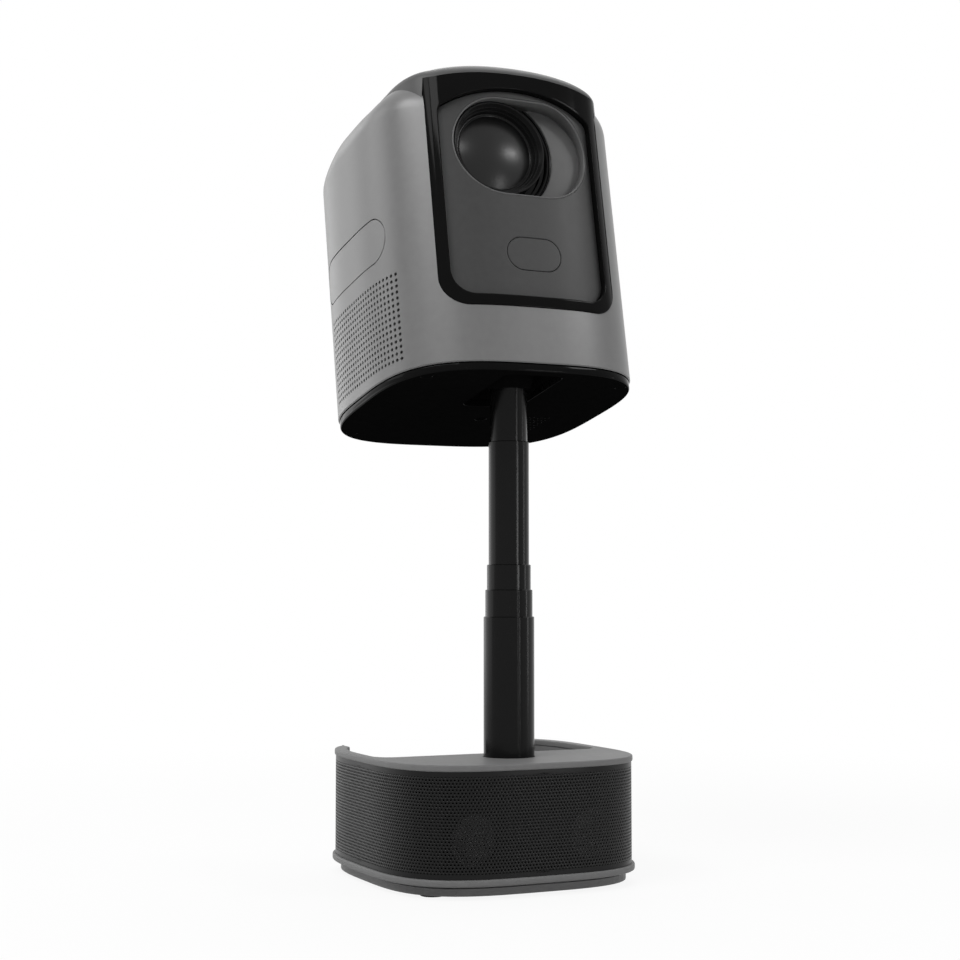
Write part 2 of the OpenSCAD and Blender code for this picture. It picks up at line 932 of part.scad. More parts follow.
module front_bezel() {
    color([0.06, 0.06, 0.06]) on_head() {
        difference() {
            intersection() {
                front_prism(-head_d, bezel_back) bezel_view(0);
                layer(0, hood_top + over) head_outline(-bezel_proud);
            }
            front_prism(-2 * head_d, 0) panel_view(0);
        }
        difference() {
            hood_form(0, skirt_s);
            hood_form(-hood_wall, skirt_s - over);
            front_prism(-2 * head_d, 0) panel_view(0);
        }
    }
}

module fascia_panel() {
    color([0.27, 0.27, 0.27]) on_head() intersection() {
        front_prism(-head_d, 0) difference() {
            panel_view(-seam);
            well_view(0);
            ir_view(seam);
        }
        layer(0, hood_top) difference() {
            head_outline(panel_sink);
            head_outline(panel_sink + panel_t);
        }
    }
}

module ir_window() {
    color([0.22, 0.22, 0.23]) on_head() intersection() {
        front_prism(-head_d, 0) ir_view(0);
        layer(0, hood_top) difference() {
            head_outline(panel_sink);
            head_outline(panel_sink + panel_t);
        }
    }
}

module side_cover() {
    color([0.5, 0.5, 0.51]) on_head() intersection() {
        side_prism(-head_w, 0) cover_view(0);
        layer(0, shell_h) difference() {
            head_outline(0);
            head_outline(cover_t - run);
        }
    }
}

// Lens

module lens_well() {
    color([0.2, 0.2, 0.2]) on_head() intersection() {
        difference() {
            front_prism(-head_d, well_back) well_view(well_wall);
            front_prism(-head_d, well_floor_y) well_view(0);
            rod_y(lens_x, lens_s, well_hole_r, -head_d, 0);
        }
        layer(0, hood_top) head_outline(panel_sink + panel_t + run);
    }
}

// A radial lug from the lens axis to the focus screw
module focus_lug(y0, y1, hole_r, from_r) {
    reach = norm([motor_x - lens_x, motor_s - lens_s]);
    turn = atan2(motor_s - lens_s, motor_x - lens_x);
    front_prism(y0, y1) translate([lens_x, lens_s]) rotate(turn) difference() {
        union() {
            translate([from_r, -lug_w / 2]) square([reach - from_r, lug_w]);
            translate([reach, 0]) circle(lug_w / 2);
        }
        translate([reach, 0]) circle(hole_r);
    }
}

module lens_barrel() {
    outer_r = focus_r + run + barrel_wall;
    color([0.1, 0.1, 0.1]) on_head() {
        difference() {
            union() {
                rod_y(lens_x, lens_s, outer_r, barrel_front, barrel_back);
                rod_y(lens_x, lens_s, barrel_flange_r, barrel_back - barrel_flange_t, barrel_back);
            }
            rod_y(lens_x, lens_s, focus_r + run, barrel_front - over, barrel_back + over);
        }
        focus_lug(motor_front - lug_t, motor_front, screw_r + run, outer_r - over);
    }
}

module focus_barrel() {
    seat_r = glass_d / 2 + pin_run;
    color([0.08, 0.08, 0.08]) on_head() {
        difference() {
            union() {
                rod_y(lens_x, lens_s, ring_r, ring_front, ring_back);
                rod_y(lens_x, lens_s, focus_r, ring_back, focus_back);
            }
            translate([lens_x, ring_front, lens_s]) rotate([-90, 0, 0])
                cylinder(r1 = ring_r - over, r2 = seat_r, h = glass_y - ring_front);
            rod_y(lens_x, lens_s, seat_r, glass_y - run, glass_y + glass_t);
            rod_y(lens_x, lens_s, rear_lens_r - over, glass_y, focus_back + over);
            rod_y(lens_x, lens_s, rear_lens_r + pin_run, rear_lens_y, focus_back + over);
        }
        focus_lug(ring_back, ring_back + lug_t, screw_r + run, focus_r - over);
    }
}

// A spherical cap of base radius r and height h on the plane z = 0
module cap(r, h) {
    ball_r = (r * r + h * h) / (2 * h);
    intersection() {
        translate([0, 0, h - ball_r]) sphere(ball_r);
        cylinder(r = r, h = h);
    }
}

module front_lens() {
    color([0.2, 0.2, 0.25]) on_head() translate([lens_x, glass_y, lens_s]) {
        rotate([90, 0, 0]) cap(glass_d / 2, glass_bulge);
        rotate([-90, 0, 0]) cylinder(d = glass_d, h = glass_t);
    }
}

module rear_lens() {
    color([0.25, 0.25, 0.3]) on_head()
        rod_y(lens_x, lens_s, rear_lens_r, rear_lens_y, rear_lens_y + rear_lens_t);
}

module focus_motor() {
    color("silver") on_head() rod_y(motor_x, motor_s, motor_r, motor_front, motor_back);
}

module focus_screw() {
    color("goldenrod") on_head() rod_y(motor_x, motor_s, screw_r, screw_front, motor_front - run);
}

// Light path

module optics_housing() {
    inner = [housing_t, -housing_t];
    color([0.13, 0.13, 0.13]) on_head() difference() {
        box(housing_x, housing_y, housing_s);
        box(housing_x + inner, housing_y + inner, housing_s + inner);
        rod_y(lens_x, lens_s, lens_hole_r, housing_y[0] - over, housing_y[0] + housing_t + over);
        translate([engine_x, engine_y, housing_s[0] - over])
            cylinder(r = cone_top_r, h = housing_t + 2 * over);
        side_prism(housing_x[0] - over, housing_x[1] + over)
            polygon([[mirror_top_y - over, housing_s[1] + over],
                     [housing_y[1] + over, housing_s[1] + over],
                     [housing_y[1] + over, mirror_sum - housing_y[1] - over]]);
    }
}

module fold_mirror() {
    color("lightsteelblue") on_head()
        translate([0, mirror_top_y, housing_s[1]]) rotate([-45, 0, 0])
            box(housing_x, [0, (housing_y[1] - mirror_top_y) * sqrt(2)], [0, mirror_t]);
}

// A sheet across the light path just inside the housing's walls
module light_sheet(s) {
    edge = [housing_t + run, -housing_t - run];
    on_head() box(housing_x + edge, housing_y + edge, [s, s + sheet_t]);
}

module upper_fresnel() { color("lightcyan") light_sheet(upper_s); }
module lcd_panel() { color("midnightblue") light_sheet(lcd_s); }
module lower_fresnel() { color("lightcyan") light_sheet(lower_s); }

module light_cone() {
    low = led_s + led_t;
    color("whitesmoke") on_head() translate([engine_x, engine_y, 0]) rotate_extrude()
        polygon([[cone_low_r, low], [cone_low_r + cone_wall, low],
                 [cone_top_r + cone_wall, housing_s[0]], [cone_top_r, housing_s[0]]]);
}

module led_module() {
    color("white") on_head() translate([engine_x, engine_y, led_s]) {
        cylinder(r = led_r, h = led_t);
        translate([0, 0, led_t]) cap(led_dome_r, led_dome_h);
    }
}

module heat_sink() {
    x0 = engine_x - sink_w / 2;
    y0 = engine_y - sink_d / 2;
    color("lightgray") on_head() {
        box([x0, x0 + sink_w], [y0, y0 + sink_d], [led_s - sink_base_t, led_s]);
        for (i = [0 : sink_fins - 1]) {
            x = x0 + i * (sink_w - fin_t) / (sink_fins - 1);
            box([x, x + fin_t], [y0, y0 + sink_d], [sink_low, led_s - sink_base_t]);
        }
    }
}

// Fan

module fan_frame() {
    half = fan_size / 2;
    back = [fan_x[1], fan_x[1] + fan_back_t];
    color([0.1, 0.1, 0.1]) on_head() translate([0, fan_y, fan_s]) {
        difference() {
            box(fan_x, [-half, half], [-half, half]);
            rod_x(fan_r, fan_x[0] - over, fan_x[1] + over);
        }
        rod_x(fan_hub_r, back[0], back[1]);
        for (a = [45 : 90 : 315]) rotate([a, 0, 0])
            box(back, [-fan_spoke_w / 2, fan_spoke_w / 2], [fan_hub_r - over, fan_r + over]);
        rod_x(fan_axle_r, fan_axle_tip, back[0]);
    }
}

module fan_rotor() {
    blade_h = fan_r - fan_hub_r + over - fan_tip_gap;
    color([0.16, 0.16, 0.16]) on_head() translate([0, fan_y, fan_s]) difference() {
        union() {
            rod_x(fan_hub_r, fan_hub_x[0], fan_hub_x[1]);
            for (i = [0 : fan_blades - 1]) rotate([i * 360 / fan_blades, 0, 0])
                translate([(fan_x[0] + fan_x[1]) / 2, 0, fan_hub_r - over]) rotate([0, 0, blade_pitch])
                    box([-blade_w / 2, blade_w / 2], [-blade_t / 2, blade_t / 2], [0, blade_h]);
        }
        rod_x(fan_axle_r + pin_run, fan_axle_tip - seam, fan_x[1]);
    }
}

// Boards, ports and button

module main_board() {
    color("darkgreen") on_head() box([board_x, board_x + board_t], board_y, [plate_top, board_top]);
    color("black") on_head() for (s = chip_s)
        translate([board_x - chip_size[0], chip_y, s]) cube(chip_size);
}

module io_panel() {
    color([0.1, 0.1, 0.1]) on_head() difference() {
        box([-io_w / 2, io_w / 2], [io_y, io_y + io_t], io_s);
        port_hole(hdmi_at, hdmi_size);
        port_hole(usb_at, usb_size);
    }
}

// Opening of the rear panel round one port
module port_hole(at, size) {
    box([at[0] - size[0] / 2 - seam, at[0] + size[0] / 2 + seam], [0, head_d],
        [at[1] - size[2] / 2 - seam, at[1] + size[2] / 2 + seam]);
}

// A socket shell with a tongue, its mouth flush with the rear panel
module port(at, size) {
    hw = size[0] / 2;
    hh = size[2] / 2;
    tongue_hw = hw - 2 * port_rim;
    y1 = io_y + io_t;
    y0 = y1 - size[1];
    on_head() translate([at[0], 0, at[1]]) {
        difference() {
            box([-hw, hw], [y0, y1], [-hh, hh]);
            box([-hw + port_rim, hw - port_rim], [y0 + port_back, y1 + over],
                [-hh + port_rim, hh - port_rim]);
        }
        box([-tongue_hw, tongue_hw], [y0 + port_back, y1 - port_back], [-port_rim, port_rim]);
    }
}

module hdmi_port() { color("silver") port(hdmi_at, hdmi_size); }
module usb_ports() { color("silver") port(usb_at, usb_size); }

module dc_inlet() {
    color([0.1, 0.1, 0.1]) on_head() translate([inlet_at[0], inlet_at[1], plate_top]) {
        difference() {
            cylinder(r = inlet_r, h = inlet_h);
            translate([0, 0, -over]) cylinder(r = inlet_bore_r, h = inlet_deep + over);
        }
        cylinder(r = inlet_pin_r, h = inlet_deep);
    }
}

module power_button() {
    color([0.15, 0.15, 0.15]) on_head() translate([0, button_y, 0]) {
        layer(roof_s - button_flange_t - seam, shell_h + button_cap_up) circle(button_r);
        layer(roof_s - button_flange_t - seam, roof_s - seam) circle(button_flange_r);
    }
}

module button_board() {
    low = switch_top - switch_h;
    color("darkgreen") on_head() translate([0, button_y, 0]) {
        box([-button_board_size[0] / 2, button_board_size[0] / 2],
            [-button_board_size[1] / 2, button_board_size[1] / 2], [low - board_t, low]);
        layer(low, switch_top) circle(switch_r);
    }
}

base_pan();
base_flange();
base_body();
base_grille();
base_deck();
base_feet();
base_screws();
speaker_frames();
speaker_cones();
speaker_magnets();
counterweight();
amplifier_board();
mast_socket();
mast_tube_1();
mast_tube_2();
mast_tube_3();
mast_tube_4();
mast_tube_5();
neck_knuckle();
tilt_bracket();
tilt_pin();
tilt_washers();
tilt_nut();
head_shell();
bottom_plate();
bottom_screws();
front_bezel();
fascia_panel();
ir_window();
side_cover();
lens_well();
lens_barrel();
focus_barrel();
front_lens();
rear_lens();
focus_motor();
focus_screw();
optics_housing();
fold_mirror();
upper_fresnel();
lcd_panel();
lower_fresnel();
light_cone();
led_module();
heat_sink();
fan_frame();
fan_rotor();
main_board();
io_panel();
hdmi_port();
usb_ports();
dc_inlet();
power_button();
button_board();
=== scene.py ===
"""Looks of a video projector: a tilting head on a telescopic mast over a speaker base."""
import json
from bisect import bisect_right
from math import atan2, ceil, cos, degrees, dist, hypot, pi, radians, sin, sqrt

import bmesh
import bpy
from mathutils import Matrix, Vector
from mathutils.geometry import tessellate_polygon


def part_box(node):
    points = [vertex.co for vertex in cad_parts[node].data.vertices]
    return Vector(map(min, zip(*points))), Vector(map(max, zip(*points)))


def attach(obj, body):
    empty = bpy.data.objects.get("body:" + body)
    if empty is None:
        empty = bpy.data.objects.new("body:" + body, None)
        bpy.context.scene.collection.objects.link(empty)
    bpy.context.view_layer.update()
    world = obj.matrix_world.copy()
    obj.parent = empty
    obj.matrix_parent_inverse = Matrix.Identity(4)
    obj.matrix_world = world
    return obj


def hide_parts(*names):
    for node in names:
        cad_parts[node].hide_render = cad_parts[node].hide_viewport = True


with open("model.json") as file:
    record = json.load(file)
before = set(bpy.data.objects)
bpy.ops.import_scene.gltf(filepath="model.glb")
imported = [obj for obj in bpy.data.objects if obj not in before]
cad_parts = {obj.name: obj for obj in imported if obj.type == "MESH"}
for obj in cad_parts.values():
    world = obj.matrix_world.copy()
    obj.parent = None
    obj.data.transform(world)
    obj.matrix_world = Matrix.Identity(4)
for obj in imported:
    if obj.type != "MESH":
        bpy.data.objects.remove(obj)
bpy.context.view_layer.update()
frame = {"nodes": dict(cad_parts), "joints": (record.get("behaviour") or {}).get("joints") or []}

MM = 0.001

# Least cosine of a face's slope that counts as flat
FLAT = 0.9

# Outline of the base and of the head, in millimetres
BASE_HW, BASE_HD, BASE_ROUND = 75.0, 79.5, 3.4
HEAD_HW, HEAD_HD, HEAD_ROUND = 76.5, 77.5, 3.32
SHELL_H, SHELL_EDGE, SHELL_WALL, SHELL_CHAMFER, SHELL_CREASE = 163.5, 20.0, 2.4, 0.6, 35

# Foot rim, deck, rear bay and feet of the base
RIM_LOW, RIM_TOP, RIM_PROUD, RIM_EDGE, RIM_LIP = 7.4, 11.0, 1.5, 0.9, 1.0
WEB_REACH, WEB_TOP = 8.0, 8.6
DECK_TOP, DECK_THICK, DECK_PROUD, DECK_EDGE, DECK_HOLE_R, DECK_HOLE_EDGE = 70.9, 3.4, 0.6, 0.8, 14.5, 0.3
BAY_FRONT, BAY_FLOOR, BAY_WALL, BAY_MIDDLE, BAY_GATE, BAY_CORNER = -15.0, 24.0, 6.0, 20.0, 58.0, 10.0
FOOT_X, FOOT_Y, FOOT_R, FOOT_H, FOOT_EDGE = 52.0, 50.0, 7.0, 2.0, 0.6

# Grille: six-sided cells with a hole in each
GRILLE_LOW, GRILLE_TOP, GRILLE_GATE, GRILLE_MARGIN, GRILLE_THICK = 11.0, 67.5, 60.0, 1.2, 0.7
CELL_PITCH, CELL_HOLE_R = 1.96, 0.62

# The head frame: tilt, and the pivot's place in it
HEAD_TILT = radians(11.1)
PIVOT_Y, PIVOT_S = -38.4, 14.0

# Bezel, and the hood with its crowned top
BEZEL_HW, BEZEL_LOW, BEZEL_CORNER, BEZEL_PROUD, BEZEL_DEEP = 54.0, 32.0, 16.0, 0.6, 12.0
HOOD_TOP, HOOD_HW, HOOD_CROWN_R, HOOD_EDGE, HOOD_BACK, HOOD_FLAT = 176.7, 63.5, 260.0, 5.0, 15.0, -35.0
HOOD_TAIL, HOOD_CREASE, HOOD_REAR_R, HOOD_SKIRT = 7.0, radians(25), 12.0, 150.0
CREASE_X, CREASE_TURN, HOOD_SIDE_Y = 48.7, 0.10, -38.0

# Rise of the roof to the front
CROWN_RISE, CROWN_FOOT, CROWN_TOP = 5.2, 42.0, 6.0
SHOULDER_RISE, SHOULDER_FOOT, SHOULDER_TOP = 4.0, -26.0, -56.0
STRETCH_FOOT = 97.0

# Front panel, sensor window and side cover
PANEL_HW, PANEL_LOW, PANEL_TOP, PANEL_CORNER, PANEL_ARCH_R = 47.5, 38.5, 162.0, 13.0, 90.0
PANEL_SHOULDER, PANEL_SINK, PANEL_THICK = 7.0, 3.0, 2.0
PILL_X, PILL_S, PILL_HW, PILL_R = 3.5, 64.4, 16.5, 9.5
COVER_Y, COVER_S = (-44.0, 46.0), (68.5, 94.0)

# Lens and the opening round it
LENS_X, LENS_S, WELL_R, WELL_RUN, WELL_FLOOR, WELL_RING_R = -10.2, 128.5, 29.5, 25.5, -64.0, 36.0
RING_R, RING_FRONT, RING_BACK, BARREL_R, BARREL_BACK = 28.0, -71.0, -58.0, 25.0, -24.0
GLASS_R, GLASS_Y, GLASS_BULGE = 22.2, -64.0, 5.0

# Side vents: columns along the depth, rows up the side
VENT_PITCH, VENT_R, VENT_Y0, VENT_S0, VENT_COLS, VENT_ROWS = 3.46, 1.0, -51.73, 5.77, 26, 15

# Underside: plate, hinge pocket, vents, screws and power inlet
UNDER_LOW, UNDER_THICK, UNDER_INSET, UNDER_EDGE = -4.6, 4.45, 0.8, 0.8
POCKET_HW, POCKET_AHEAD, POCKET_BEHIND, POCKET_CORNER, POCKET_WALL = 18.0, 31.0, 29.5, 5.0, 0.8
POCKET_LOW, POCKET_TOP = -4.2, 27.0
DRAIN_X, DRAIN_Y, DRAIN_PITCH, DRAIN_R = 26.0, 8.0, 5.0, 1.2
SCREW_X, SCREW_Y, SCREW_R = 60.0, 57.0, 3.1
INLET_X, INLET_Y, INLET_R = 6.0, 16.0, 3.3

# Socket panel at the rear, with the middle and half width of each opening, and the power button
IO_HW, IO_LOW, IO_TOP, IO_CORNER, IO_GAP, IO_THICK, IO_SINK = 28.0, 28.0, 60.0, 3.0, 0.15, 2.0, 1.6
SOCKETS, SOCKET_LOW, SOCKET_TOP, SOCKET_CORNER = ((-12.0, 7.65), (10.0, 6.65)), 40.85, 47.15, 0.8
KEY_R, KEY_Y, KEY_PROUD, KEY_EDGE, KEY_COLLAR_R, KEY_GAP = 7.0, 50.0, 0.8, 0.6, 8.4, 0.25

# Edge of a cutter, too small to show
CUTTER_EDGE = 0.01

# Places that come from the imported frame
joints = {j["name"]: j for j in frame["joints"]}
pivot = Vector(joints["head_tilt"]["pos_m"])
base_low, base_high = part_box("base_flange")
mast_low, mast_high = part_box("mast_tube_1")
HEAD = (Matrix.Translation(pivot) @ Matrix.Rotation(-HEAD_TILT, 4, "X") @ Matrix.Scale(MM, 4)
        @ Matrix.Translation((0, -PIVOT_Y, -PIVOT_S)))
BASE = Matrix.Translation((0, (base_low.y + base_high.y) / 2, 0)) @ Matrix.Scale(MM, 4)
MAST = Matrix.Translation((0, (mast_low.y + mast_high.y) / 2, 0)) @ Matrix.Scale(MM, 4)


# Outlines

def squircle(hw, hd, n, angle):
    """Point of a squircle at a polar angle."""
    c, s = cos(angle), sin(angle)
    r = (abs(c / hw) ** n + abs(s / hd) ** n) ** (-1 / n)
    return r * c, r * s


def squircle_loop(hw, hd, n, count):
    return [squircle(hw, hd, n, 2 * pi * i / count) for i in range(count)]


def base_loop(inset, count=240):
    return squircle_loop(BASE_HW - inset, BASE_HD - inset, BASE_ROUND, count)


def head_loop(inset, count=240):
    return squircle_loop(HEAD_HW - inset, HEAD_HD - inset, HEAD_ROUND, count)


def head_reach(across, half, depth):
    """How far the head outline reaches at a given offset across it."""
    return depth * max(1 - abs(across / half) ** HEAD_ROUND, 0) ** (1 / HEAD_ROUND)


def head_front(x, inset=0.0):
    return -head_reach(x, HEAD_HW - inset, HEAD_HD - inset)


def bezel_bend():
    """Start, bend and end point of the curve from the bezel's crease to the side of the hood."""
    step = 0.5
    start = head_front(CREASE_X, -BEZEL_PROUD)
    slope = (start - head_front(CREASE_X - step, -BEZEL_PROUD)) / step + CREASE_TURN
    return (CREASE_X, start), (HOOD_HW, start + slope * (HOOD_HW - CREASE_X)), (HOOD_HW, HOOD_SIDE_Y)


def bezel_front(x):
    """Depth of the bezel's front: the head outline, and a curved flank outside the crease."""
    x = abs(x)
    if x <= CREASE_X:
        return head_front(x, -BEZEL_PROUD)
    start, bend, end = bezel_bend()
    t = 1 - sqrt(max(HOOD_HW - x, 0) / (HOOD_HW - CREASE_X))
    return (1 - t) ** 2 * start[1] + 2 * t * (1 - t) * bend[1] + t * t * end[1]


def head_left(y, inset=0.0):
    return -head_reach(y, HEAD_HD - inset, HEAD_HW - inset)


def quarter(steps):
    """Angles from 0 to a right angle, both ends included."""
    return [pi / 2 * i / steps for i in range(steps + 1)]


def arc(cx, cy, r, start, end, count):
    """Points on an arc, angles in degrees, both ends included."""
    steps = [radians(start + (end - start) * i / count) for i in range(count + 1)]
    return [(cx + r * cos(a), cy + r * sin(a)) for a in steps]


def circle(cx, cy, r, count=48):
    return arc(cx, cy, r, 0, 360 - 360 / count, count - 1)


def soft_rect(x0, x1, y0, y1, r_low, r_high, count=10):
    """Rectangle with its own bottom and top corner radii."""
    return (arc(x1 - r_low, y0 + r_low, r_low, -90, 0, count)
            + arc(x1 - r_high, y1 - r_high, r_high, 0, 90, count)
            + arc(x0 + r_high, y1 - r_high, r_high, 90, 180, count)
            + arc(x0 + r_low, y0 + r_low, r_low, 180, 270, count))


def pill(x0, x1, y, r, count=24):
    """Pill whose round ends have their centres at x0 and x1."""
    return arc(x1, y, r, -90, 90, count) + arc(x0, y, r, 90, 270, count)


def panel_outline(grow=0.0):
    """The panel: straight sides, round lower corners and an arched top."""
    hw = PANEL_HW + grow
    arch_s = PANEL_TOP - PANEL_ARCH_R
    arch_r = PANEL_ARCH_R + grow
    corner = PANEL_CORNER + grow
    cx = hw - PANEL_SHOULDER
    cy = arch_s + sqrt((arch_r - PANEL_SHOULDER) ** 2 - cx ** 2)
    turn = degrees(atan2(cy - arch_s, cx))
    low = PANEL_LOW - grow + corner
    right = arc(hw - corner, low, corner, -90, 0, 10) + arc(cx, cy, PANEL_SHOULDER, 0, turn, 6)
    top = arc(0, arch_s, arch_r, turn, 180 - turn, 40)[1:-1]
    left = arc(-cx, cy, PANEL_SHOULDER, 180 - turn, 180, 6) + arc(-hw + corner, low, corner, 180, 270, 10)
    return right + top + left


def window_outline(grow=0.0):
    return pill(PILL_X - PILL_HW + PILL_R, PILL_X + PILL_HW - PILL_R, PILL_S, PILL_R + grow)


def well_outline():
    return pill(LENS_X, LENS_X + WELL_RUN, LENS_S, WELL_R, 40)


def cover_outline():
    r = (COVER_S[1] - COVER_S[0]) / 2
    return pill(COVER_Y[0] + r, COVER_Y[1] - r, COVER_S[0] + r, r)


def pocket_outline(grow=0.0):
    """Plan of the hinge pocket in the underside."""
    corner = POCKET_CORNER + grow
    return soft_rect(-POCKET_HW - grow, POCKET_HW + grow, PIVOT_Y - POCKET_AHEAD - grow,
                     PIVOT_Y + POCKET_BEHIND + grow, corner, corner)


def area(loop):
    return sum(a[0] * b[1] - b[0] * a[1] for a, b in zip(loop, loop[1:] + loop[:1])) / 2


def offset(loop, inset):
    """Moves each point of a loop by inset to its left, which is inwards on an anticlockwise loop."""
    moved = []
    for i, p in enumerate(loop):
        a, b = loop[i - 1], loop[(i + 1) % len(loop)]
        dx, dy = b[0] - a[0], b[1] - a[1]
        size = hypot(dx, dy) or 1.0
        moved.append((p[0] - dy / size * inset, p[1] + dx / size * inset))
    return moved


# Meshes

def make_object(name, bm, matrix, sharp=40):
    """Turns a bmesh in millimetres into an object in the shared frame, smooth but for its sharp edges."""
    bmesh.ops.recalc_face_normals(bm, faces=bm.faces)
    bm.transform(matrix)
    mesh = bpy.data.meshes.new(name)
    bm.to_mesh(mesh)
    bm.free()
    mesh.shade_smooth()
    mesh.set_sharp_from_angle(angle=radians(sharp))
    obj = bpy.data.objects.new(name, mesh)
    bpy.context.scene.collection.objects.link(obj)
    return obj


def from_lists(verts, faces):
    bm = bmesh.new()
    made = [bm.verts.new(v) for v in verts]
    for face in faces:
        bm.faces.new([made[i] for i in face])
    return bm


def loft(loops, closed=False, cap_first=False, cap_last=False):
    """Skin over loops of 3-D points that all have the same count."""
    count = len(loops[0])
    verts = [p for loop in loops for p in loop]
    faces = []
    pairs = list(zip(range(len(loops) - 1), range(1, len(loops))))
    if closed:
        pairs.append((len(loops) - 1, 0))
    for a, b in pairs:
        for i in range(count):
            k = (i + 1) % count
            faces.append((a * count + i, a * count + k, b * count + k, b * count + i))
    if cap_first:
        faces.append(tuple(range(count)))
    if cap_last:
        faces.append(tuple(range((len(loops) - 1) * count, len(loops) * count)))
    return from_lists(verts, faces)


def lathe(profile, count=96, closed=False, axis="Z", centre=(0, 0)):
    """Turns a profile of (radius, place along the axis). A radius of 0 at an end closes it."""
    loops = []
    for r, z in profile:
        ring = [(r * cos(2 * pi * i / count), r * sin(2 * pi * i / count)) for i in range(count)]
        if axis == "Z":
            loops.append([(centre[0] + x, centre[1] + y, z) for x, y in ring])
        else:
            loops.append([(centre[0] + x, z, centre[1] + y) for x, y in ring])
    bm = loft(loops, closed=closed)
    bmesh.ops.remove_doubles(bm, verts=bm.verts, dist=1e-5)
    return bm


def edge_profile(bevel, depth, support, steps=4):
    """Inset and depth of the loops round a plate's edge, front to back."""
    front = [(bevel * (1 - sin(a)), bevel * (1 - cos(a))) for a in quarter(steps)]
    back = [(i, depth - d) for i, d in reversed(front)]
    return [(bevel + support, 0.0)] + front + back + [(bevel + support, depth)]


def plate(outlines, depth, bevel, hole_bevel=None, support=0.4):
    """Flat plate with rounded edges; the first outline is its rim and the rest are holes."""
    loops = [outlines[0] if area(outlines[0]) > 0 else outlines[0][::-1]]
    loops += [h if area(h) < 0 else h[::-1] for h in outlines[1:]]
    bm = bmesh.new()
    first, last = [], []
    for number, loop in enumerate(loops):
        edge = bevel if number == 0 or hole_bevel is None else hole_bevel
        rings = []
        for inset, d in edge_profile(edge, depth, support):
            moved = offset(loop, inset)
            rings.append([bm.verts.new((x, y, -d)) for x, y in moved])
        for a, b in zip(rings, rings[1:]):
            for i in range(len(loop)):
                k = (i + 1) % len(loop)
                bm.faces.new((a[i], a[k], b[k], b[i]))
        first.append(rings[0])
        last.append(rings[-1])
    for group in (first, last):
        flat = [v for ring in group for v in ring]
        for tri in tessellate_polygon([[v.co for v in ring] for ring in group]):
            bm.faces.new([flat[i] for i in tri])
    return bm


def slice_along(bm, axis, step):
    """Cuts the faces into strips, so that the piece can follow a curve."""
    at = [v.co[axis] for v in bm.verts]
    normal = Vector((axis == 0, axis == 1, axis == 2))
    for i in range(ceil(min(at) / step), ceil(max(at) / step)):
        bmesh.ops.bisect_plane(bm, geom=bm.verts[:] + bm.edges[:] + bm.faces[:], dist=1e-6,
                               plane_co=normal * (i * step), plane_no=normal)
    return bm


def warp(bm, rule):
    for v in bm.verts:
        v.co = rule(*v.co)
    return bm


def add_mesh(bm, other):
    """Puts another bmesh's faces into this one."""
    mesh = bpy.data.meshes.new("piece")
    other.to_mesh(mesh)
    other.free()
    bm.from_mesh(mesh)
    bpy.data.meshes.remove(mesh)


def applied(obj):
    """Bakes an object's modifiers into its mesh."""
    bpy.context.view_layer.update()
    mesh = bpy.data.meshes.new_from_object(obj.evaluated_get(bpy.context.evaluated_depsgraph_get()))
    obj.modifiers.clear()
    obj.data = mesh
    return obj


def cut(obj, cutter):
    """Takes a cutter's volume out of an object."""
    modifier = obj.modifiers.new("cut", "BOOLEAN")
    modifier.operation = "DIFFERENCE"
    modifier.solver = "EXACT"
    modifier.object = cutter
    applied(obj)
    bpy.data.objects.remove(cutter)
    return obj


def thicken(obj, thickness):
    modifier = obj.modifiers.new("wall", "SOLIDIFY")
    modifier.thickness = thickness * MM
    modifier.offset = -1
    return applied(obj)


def dress(obj, material, body, *replaced, slot=None):
    """Gives a piece its material and its body, and hides the nodes that it stands for. The finish slot is
    not used.
    """
    obj.data.materials.clear()
    obj.data.materials.append(material)
    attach(obj, body)
    if replaced:
        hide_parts(*replaced)
    return obj


# Materials

def surface(name, colour, roughness, grain=1200.0, bump=0.05, vary=0.08, metallic=0.0, specular=0.5):
    """A moulded or painted surface with a fine grain, uneven gloss and a slight mottle."""
    material = bpy.data.materials.new(name)
    material.use_nodes = True
    nodes, links = material.node_tree.nodes, material.node_tree.links
    shader = nodes["Principled BSDF"]
    shader.inputs["Metallic"].default_value = metallic
    shader.inputs["Specular IOR Level"].default_value = specular
    place = nodes.new("ShaderNodeTexCoord")

    def noise(scale, detail):
        node = nodes.new("ShaderNodeTexNoise")
        node.inputs["Scale"].default_value = scale
        node.inputs["Detail"].default_value = detail
        links.new(place.outputs["Object"], node.inputs["Vector"])
        return node.outputs["Fac"]

    mottle = noise(grain / 12, 4.0)
    fine = noise(grain, 2.0)
    ramp = nodes.new("ShaderNodeValToRGB")
    for element, factor, at in zip(ramp.color_ramp.elements, (1 - vary, 1 + vary), (0.3, 0.7)):
        element.position = at
        element.color = tuple(min(c * factor, 1.0) for c in colour) + (1.0,)
    links.new(mottle, ramp.inputs["Fac"])
    links.new(ramp.outputs["Color"], shader.inputs["Base Color"])
    gloss = nodes.new("ShaderNodeMapRange")
    gloss.inputs["To Min"].default_value = roughness * 0.85
    gloss.inputs["To Max"].default_value = min(roughness * 1.15, 1.0)
    links.new(mottle, gloss.inputs["Value"])
    links.new(gloss.outputs["Result"], shader.inputs["Roughness"])
    relief = nodes.new("ShaderNodeBump")
    relief.inputs["Strength"].default_value = bump
    relief.inputs["Distance"].default_value = 0.1 * MM
    links.new(fine, relief.inputs["Height"])
    links.new(relief.outputs["Normal"], shader.inputs["Normal"])
    return material


def grey(value):
    return (value, value, value)


